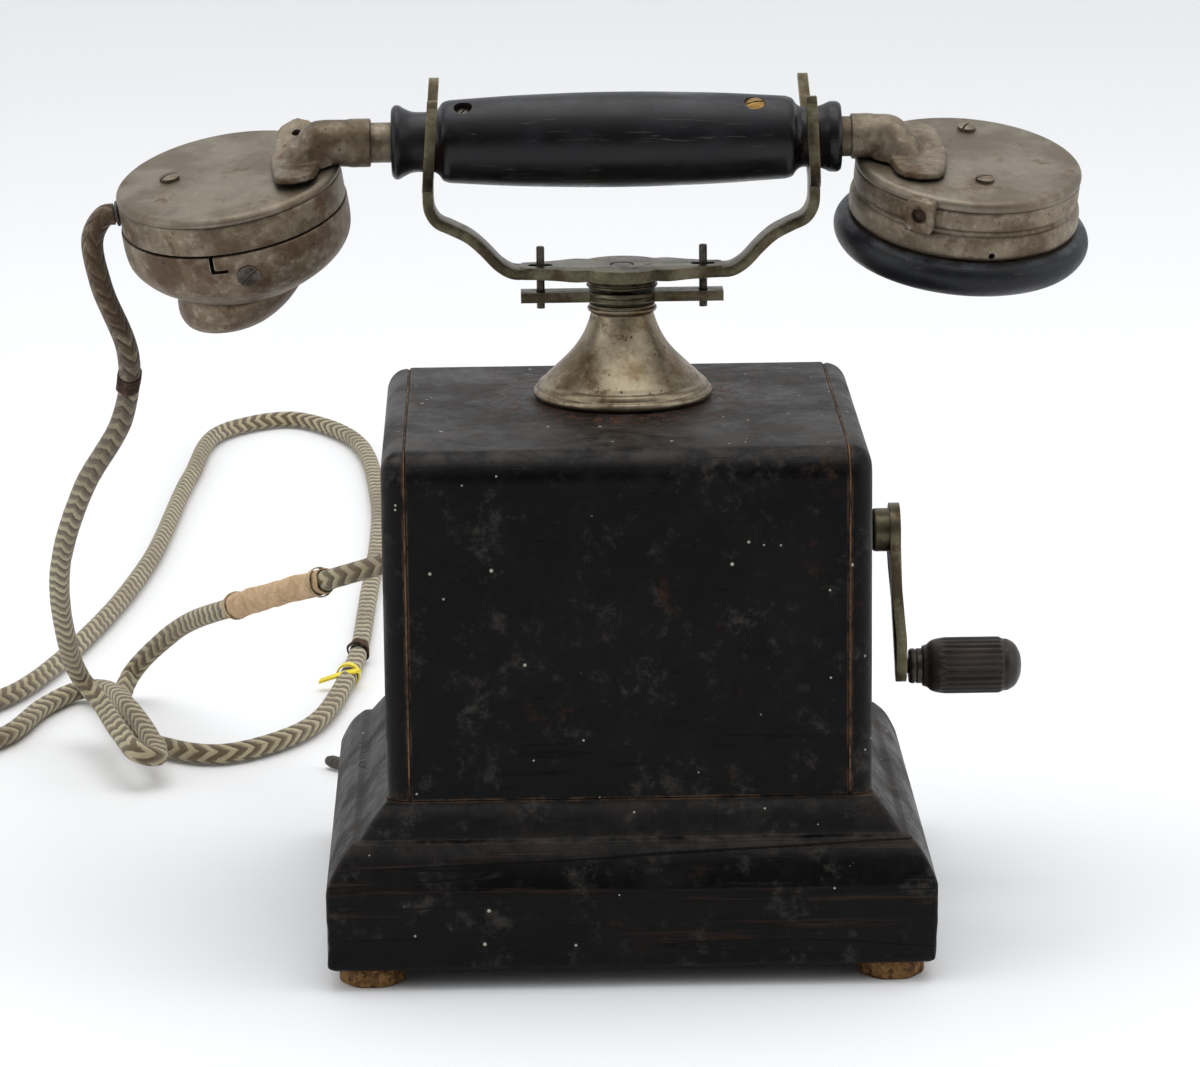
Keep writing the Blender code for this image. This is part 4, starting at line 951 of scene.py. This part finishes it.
def add_crank():
    steps = 16
    edge = []
    for i in range(steps + 1):
        t = i / steps
        edge.append((7.3 + (4.3 - 7.3) * min(1.0, t * 1.15), -38.4 * t))
    outline = edge + arc(0, -38.4, 4.3, -12, -168, 12) + [(-y, z) for y, z in reversed(edge)]
    outline += arc(0, 0, 7.35, 165, 15, 14)
    lean = lambda z: 2.0 * min(max((-z - 8.0) / 22.0, 0.0), 1.0) ** 1.2
    faces = [[(x + lean(z), y, z) for y, z in outline] for x in (72.2, 75.0)]
    arm = mesh_object("crank_lever", loft(faces), CRANK)
    hub = rounded([(0, 67.6), (5.4, 67.6, 0.3), (5.9, 68.2, 0.4), (5.9, 73.0), (0, 73.0)])
    combine(arm, [turned(hub, "X", 48)], "UNION", CRANK)
    combine(arm, [rod(3.3, 60, 80, "X", 32)], "DIFFERENCE", CRANK)
    finish_piece(arm, "crank", BRONZE, "bronze", ("crank_arm",), bevel=0.45)
    shaft = rounded([(0, -36.5), (3.0, -36.5), (3.0, 74.4, 0.5), (0, 74.8)])
    piece("crank_spindle", turned(shaft, "X", 40), "crank", STEEL, "iron", CRANK, ("crank_shaft",))
    rivet = rounded([(0, 77.3), (2.0, 77.3), (2.0, 101.0), (0, 101.0)])
    piece("knob_spindle", turned(rivet, "X", 32), "crank", STEEL, "iron", KNOB, ("knob_pin",))
    handle = rounded([(2.3, 81.4), (5.5, 81.4, 0.3), (5.8, 82.6, 0.3), (6.9, 83.8, 0.6), (7.4, 85.4, 0.6),
                      (7.7, 87.6, 0.4), (7.7, 102.4, 0.6), (7.1, 103.4, 0.3), (7.1, 104.6, 0.5),
                      (5.9, 106.8, 1.2), (3.2, 108.2, 1.0), (0, 108.6), (0, 101.6), (2.3, 101.6)])
    dense = []
    for a, b in zip(handle, handle[1:] + handle[:1]):
        count = 4 if abs(a[1] - b[1]) > 6 else 1
        dense += [tuple(Vector(a).lerp(Vector(b), k / count)) for k in range(count)]

    def flutes(r, h, a):
        ends = min(max((h - 86.2) / 1.4, 0.0), 1.0) * min(max((103.0 - h) / 0.8, 0.0), 1.0)
        return r - 0.55 * ends * (abs(math.cos(13 * a)) ** 3 if r > 6 else 0.0)

    piece("knob_handle", turned(dense, "X", 208, flutes), "knob", KNOB_WOOD, "knob_wood", KNOB,
          ("crank_knob",))
    ferrule = rounded([(2.3, 77.7), (4.4, 77.7, 0.3), (4.8, 78.4, 0.3), (4.8, 79.2, 0.2),
                       (4.5, 79.5, 0.1), (4.8, 79.9, 0.2), (4.8, 81.3, 0.2), (2.3, 81.3)])
    piece("knob_ferrule", turned(ferrule, "X", 48), "knob", STEEL, "iron", KNOB)


# ---------------------------------------------------------------- handset


def add_grip():
    profile = rounded([(5.7, -60.8), (8.9, -60.8, 0.6), (10.0, -59.9, 0.7), (10.0, -58.7, 0.5),
                       (9.0, -57.2, 1.0), (8.05, -55.0, 1.5), (8.05, -49.2, 1.2), (9.0, -48.0, 0.3),
                       (10.5, -47.0, 0.5), (11.1, -45.4, 0.8), (12.2, -28.0, 6.0), (12.8, -8.0, 6.0),
                       (12.8, 8.0, 6.0), (12.2, 28.0, 6.0), (11.1, 45.4, 0.8), (10.5, 47.0, 0.5),
                       (9.0, 48.0, 0.3), (8.05, 49.2, 1.2), (8.05, 53.4, 1.2), (8.7, 55.4, 0.8),
                       (9.5, 57.0, 0.6), (9.5, 59.0, 0.5), (8.8, 60.0, 0.4), (5.7, 60.0)])
    grip = mesh_object("grip_handle", turned(profile, "X", 96), HANDSET)
    holes = [moved(rod(r, 9.0, 15.0, "Z", 32), turn(14, "X") @ at(x)) for x, r in ((-41.4, 2.5), (36.7, 2.8))]
    combine(grip, holes, "DIFFERENCE", HANDSET)
    finish_piece(grip, "handset", EBONITE, "ebonite", ("grip",), bevel=0.12)
    leaning = HANDSET @ turn(14, "X")
    screw("grip_screw_sunk", leaning @ at(-41.4, 0, 9.3), "handset", STEEL, 2.2, 0.7, 60, "iron")
    screw("grip_screw", leaning @ at(36.7, 0, 10.9), "handset", BRASS, 2.6, 1.0, 15, "brass")
    tube = rounded([(3.9, -73.6), (5.4, -73.6, 0.3), (5.4, 63.6, 0.3), (3.9, 63.6)])
    piece("handle_pipe", turned(tube, "X", 48), "handset", SHELL, "capsule_brass", HANDSET, ("handle_tube",))


def add_elbow(name, capsule, side, start, bend, radius, saddle_x, saddle_z, half, lifts, tilt):
    """A socket on the pipe, a rounded bend, and a saddle with two lugs, melted together like a casting.

    lifts is how far the near and the far lug's tips rise off the capsule's lid."""
    ends = [(radius * u, side * (bend + 7.4 * v)) for u, v in arc(0, 0, 1, 0, 90, 8)]
    pipe = turned([(0, side * (start + 4)), (radius, side * (start + 4)), *ends], "X", 48)
    outline = ((0, 0.2), (radius + 0.2, 0.2), (radius + 0.2, 6), (radius - 0.1, 6.6), (0, 6.6))
    socket = turned([(r, side * (start + x)) for r, x in outline], "X", 48)
    rings = []
    for i in range(25):
        t = -1 + i / 12
        y = 18.4 * t
        tip = math.sqrt(max(1 - (max(0.0, abs(y) - 13.0) / 5.5) ** 2, 0.02))
        plan = half * tip * (1 + 0.28 * math.cos(t * math.pi / 2) ** 2)
        lift = lifts[0 if t < 0 else 1] * t * t
        rings.append([(-plan, y, lift), (plan, y, lift), (plan * 0.93, y, lift + 2.1),
                      (-plan * 0.93, y, lift + 2.1)])
    foot = turned([(0, 0.2), (8.4, 0.2), (7.6, 2.4), (6.2, 5.0), (5.6, 6.2), (0, 6.2)], "Z", 32)
    saddle = at(side * saddle_x, 0, saddle_z) @ turn(tilt, "Y")
    foot = moved(foot, saddle @ at(side * (bend + 3.0 - saddle_x)))
    elbow = mesh_object(name, together([pipe, socket, foot, moved(loft(rings), saddle)]), HANDSET)
    cast(elbow)
    if lifts[1] > 1:
        combine(elbow, [moved(rod(1.3, -3, 12, "Z", 20), at(0, 12.6))], "DIFFERENCE", HANDSET @ saddle)
    outline = ((0, start - 4), (5.45, start - 4), (5.45, bend - 5), (0, bend - 5))
    combine(elbow, [turned([(r, side * x) for r, x in outline], "X", 40)], "DIFFERENCE", HANDSET)
    combine(elbow, [rod(31.2, -20.0, 0.15, "Z", 96)], "DIFFERENCE", capsule)
    roughen(elbow, 0.12, 4.0)
    node = "elbow_transmitter" if side < 0 else "elbow_receiver"
    return finish_piece(elbow, "handset", SHELL, "capsule_brass", (node,), sharp=60)


def add_transmitter():
    lid = rounded([(0, 0), (29.4, 0, 0.8), (30.6, -1.0, 0.7), (30.6, -2.0, 0.3), (30.2, -2.3), (0, -2.3)])
    piece("transmitter_lid", turned(lid, "Z", 128), "handset", LID, "capsule_brass", TRANSMITTER)
    wall = rounded([(29.0, -2.4), (30.2, -2.4), (30.55, -2.8, 0.3), (30.55, -10.2, 0.3), (29.0, -10.2)])
    piece("transmitter_wall", turned(wall, "Z", 128), "handset", SHELL, "capsule_brass", TRANSMITTER,
          ("transmitter_shell",))
    cover = rounded([(31.1, -10.7, 0.4), (31.2, -17.0, 3.0), (30.3, -20.8, 2.5), (27.0, -25.1, 3.0),
                     (21.6, -28.6, 3.0), (17.0, -31.0, 1.0), (15.6, -31.6), (9.6, -31.6), (9.6, -30.0),
                     (15.6, -29.8), (20.6, -27.2), (25.7, -23.7), (28.8, -19.8), (29.6, -17.0),
                     (29.6, -10.7)])
    lumps = lambda h, a: noise.noise(Vector((math.cos(a) * 2.6, math.sin(a) * 2.6, h / 7)))
    dents = lambda r, h, a: r - 0.16 * (1 + lumps(h, a))
    bowl = mesh_object("transmitter_cover_cup", turned(cover, "Z", 128, dents), TRANSMITTER)
    # A bayonet slot beside the locking screw
    cuts = [moved(block((-0.55, -34, -14.6), (0.55, -29, -10.0)), turn(-9.5, "Z")),
            moved(block((-0.55, -34, -15.4), (4.2, -29, -14.4)), turn(-9.5, "Z"))]
    combine(bowl, cuts, "DIFFERENCE", TRANSMITTER)
    finish_piece(bowl, "handset", COVER, "capsule_brass", ("transmitter_cover",), sharp=45)
    lock = TRANSMITTER @ turn(7.5, "Z") @ at(0, -30.7, -17.2) @ turn(96, "X")
    screw("transmitter_lock_screw", lock, "handset", STEEL, 3.1, 0.5, 35, "iron", False)
    mouth = rounded([(16.8, -30.4), (17.4, -31.6, 0.6), (17.0, -33.8, 1.5), (15.4, -37.4, 2.5),
                     (12.8, -40.3, 1.8), (10.9, -41.4, 0.8), (9.7, -41.1, 0.5), (8.0, -38.0, 2.0),
                     (5.4, -34.0, 1.0), (5.0, -30.4)])
    funnel = turned(mouth, "Z", 96)
    for v in funnel.verts:
        v.co.x += 0.5 * min(v.co.z + 31.9, 0.0)
    piece("mouthpiece_cup", funnel, "handset", COVER, "capsule_brass", TRANSMITTER @ at(-1.8),
          ("mouthpiece",), sharp=60)
    place = TRANSMITTER @ at(-15.8, 2.4, 0)
    screw("transmitter_lid_screw", place, "handset", SHELL, 2.7, 1.5, 35, "iron")
    bush = rounded([(2.2, -31.6), (3.2, -31.6, 0.2), (3.5, -31.4, 0.2), (3.5, -30.95), (2.2, -30.95)])
    piece("transmitter_bush", turned(bush, "X", 32), "handset", STEEL, "ebonite",
          TRANSMITTER @ at(0, 0, -6.7), ("transmitter_gland",))


def add_receiver():
    lid = rounded([(0, 0), (29.6, 0, 0.8), (30.7, -1.0, 0.8), (30.7, -2.6, 0.4), (30.2, -3.0), (0, -3.0)])
    piece("receiver_lid", turned(lid, "Z", 128), "handset", LID, "capsule_brass", RECEIVER)
    wall = rounded([(28.6, -3.1), (30.2, -3.1), (30.5, -3.5, 0.3), (30.5, -8.0, 0.5), (29.7, -8.8, 0.4),
                    (29.7, -9.8, 0.4), (30.7, -10.3, 0.5), (31.2, -11.6, 0.7), (31.2, -15.4, 0.8),
                    (30.2, -16.7, 0.5), (28.6, -16.7)])
    body = mesh_object("receiver_wall", turned(wall, "Z", 128), RECEIVER)
    hole = moved(rod(0.9, -33, -28, "Y", 20), turn(9.2, "Z") @ at(0, 0, -14.8))
    combine(body, [hole], "DIFFERENCE", RECEIVER)
    finish_piece(body, "handset", SHELL, "capsule_brass", ("receiver_shell",), sharp=45)
    cap = rounded([(31.4, -17.0, 0.4), (33.6, -18.0, 1.2), (34.8, -20.4, 1.6), (34.5, -23.2, 1.6),
                   (32.4, -26.0, 1.5), (28.8, -27.5, 1.2), (25.0, -27.3, 2.0), (15.0, -24.8, 3.0),
                   (6.2, -23.4, 0.5), (5.2, -22.8, 0.4), (5.2, -20.6), (27.0, -20.6), (27.0, -17.0)])
    piece("ear_cap_rim", turned(cap, "Z", 128), "handset", EAR_EBONITE, "ebonite", RECEIVER,
          ("ear_cap",), sharp=50)
    for n, (x, y, a) in enumerate(((1.2, 21.5, 60), (3.0, -14.3, 20))):
        screw(f"receiver_lid_screw_{n}", RECEIVER @ at(x, y), "handset", SHELL, 2.5, 1.5, a, "iron")
    place = RECEIVER @ turn(-27.5, "Z")
    outline = rounded([(-3.9, -9.7, 1.0), (3.6, -9.7, 1.0), (3.9, -0.6, 1.2), (-3.7, -0.3, 1.2)])
    boss = mesh_object("receiver_hook_boss", prism(outline, -33.9, -30.2, "Y"), place)
    combine(boss, [moved(rod(2.0, -36, -31.6, "Y", 28), at(0, 0, -4.9))], "DIFFERENCE", place)
    finish_piece(boss, "handset", COVER, "capsule_brass", ("receiver_boss",), bevel=0.7)


def paint_hidden():
    """The pieces inside the case and the capsules keep their CAD shapes."""
    groups = (
        (INNER_WOOD, ("bottom_board", "inner_shelf")),
        (INNER_IRON, ("horseshoe_magnet_left", "horseshoe_magnet_right", "pole_piece_front",
                      "pole_piece_rear", "armature", "ringer_frame", "clapper", "carbon_capsule",
                      "receiver_diaphragm", "receiver_magnet")),
        (BRASS, ("main_gear", "pinion", "magneto_plate_left", "magneto_plate_right", "contact_spring",
                 "gong_left", "gong_right")),
        (WINDING, ("induction_coil", "ringer_coil_left", "ringer_coil_right", "receiver_coils")),
        (EBONITE, ("terminal_strip", "contact_block")),
    )
    for paint, names in groups:
        for name in names:
            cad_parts[name].data.materials.clear()
            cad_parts[name].data.materials.append(paint)


add_camera()
add_stage()
add_cords()
add_base()
add_case()
add_pillar()
add_cradle()
add_crank()
add_grip()
add_elbow("elbow_casting_transmitter", TRANSMITTER, -1, 66.0, 79.0, 6.4, 86.2, -5.6, 5.6, (1.5, 3.6), -8.0)
add_elbow("elbow_casting_receiver", RECEIVER, 1, 62.4, 71.5, 6.0, 80.4, -5.8, 6.6, (0.3, 0.6), 4.4)
add_transmitter()
add_receiver()
paint_hidden()
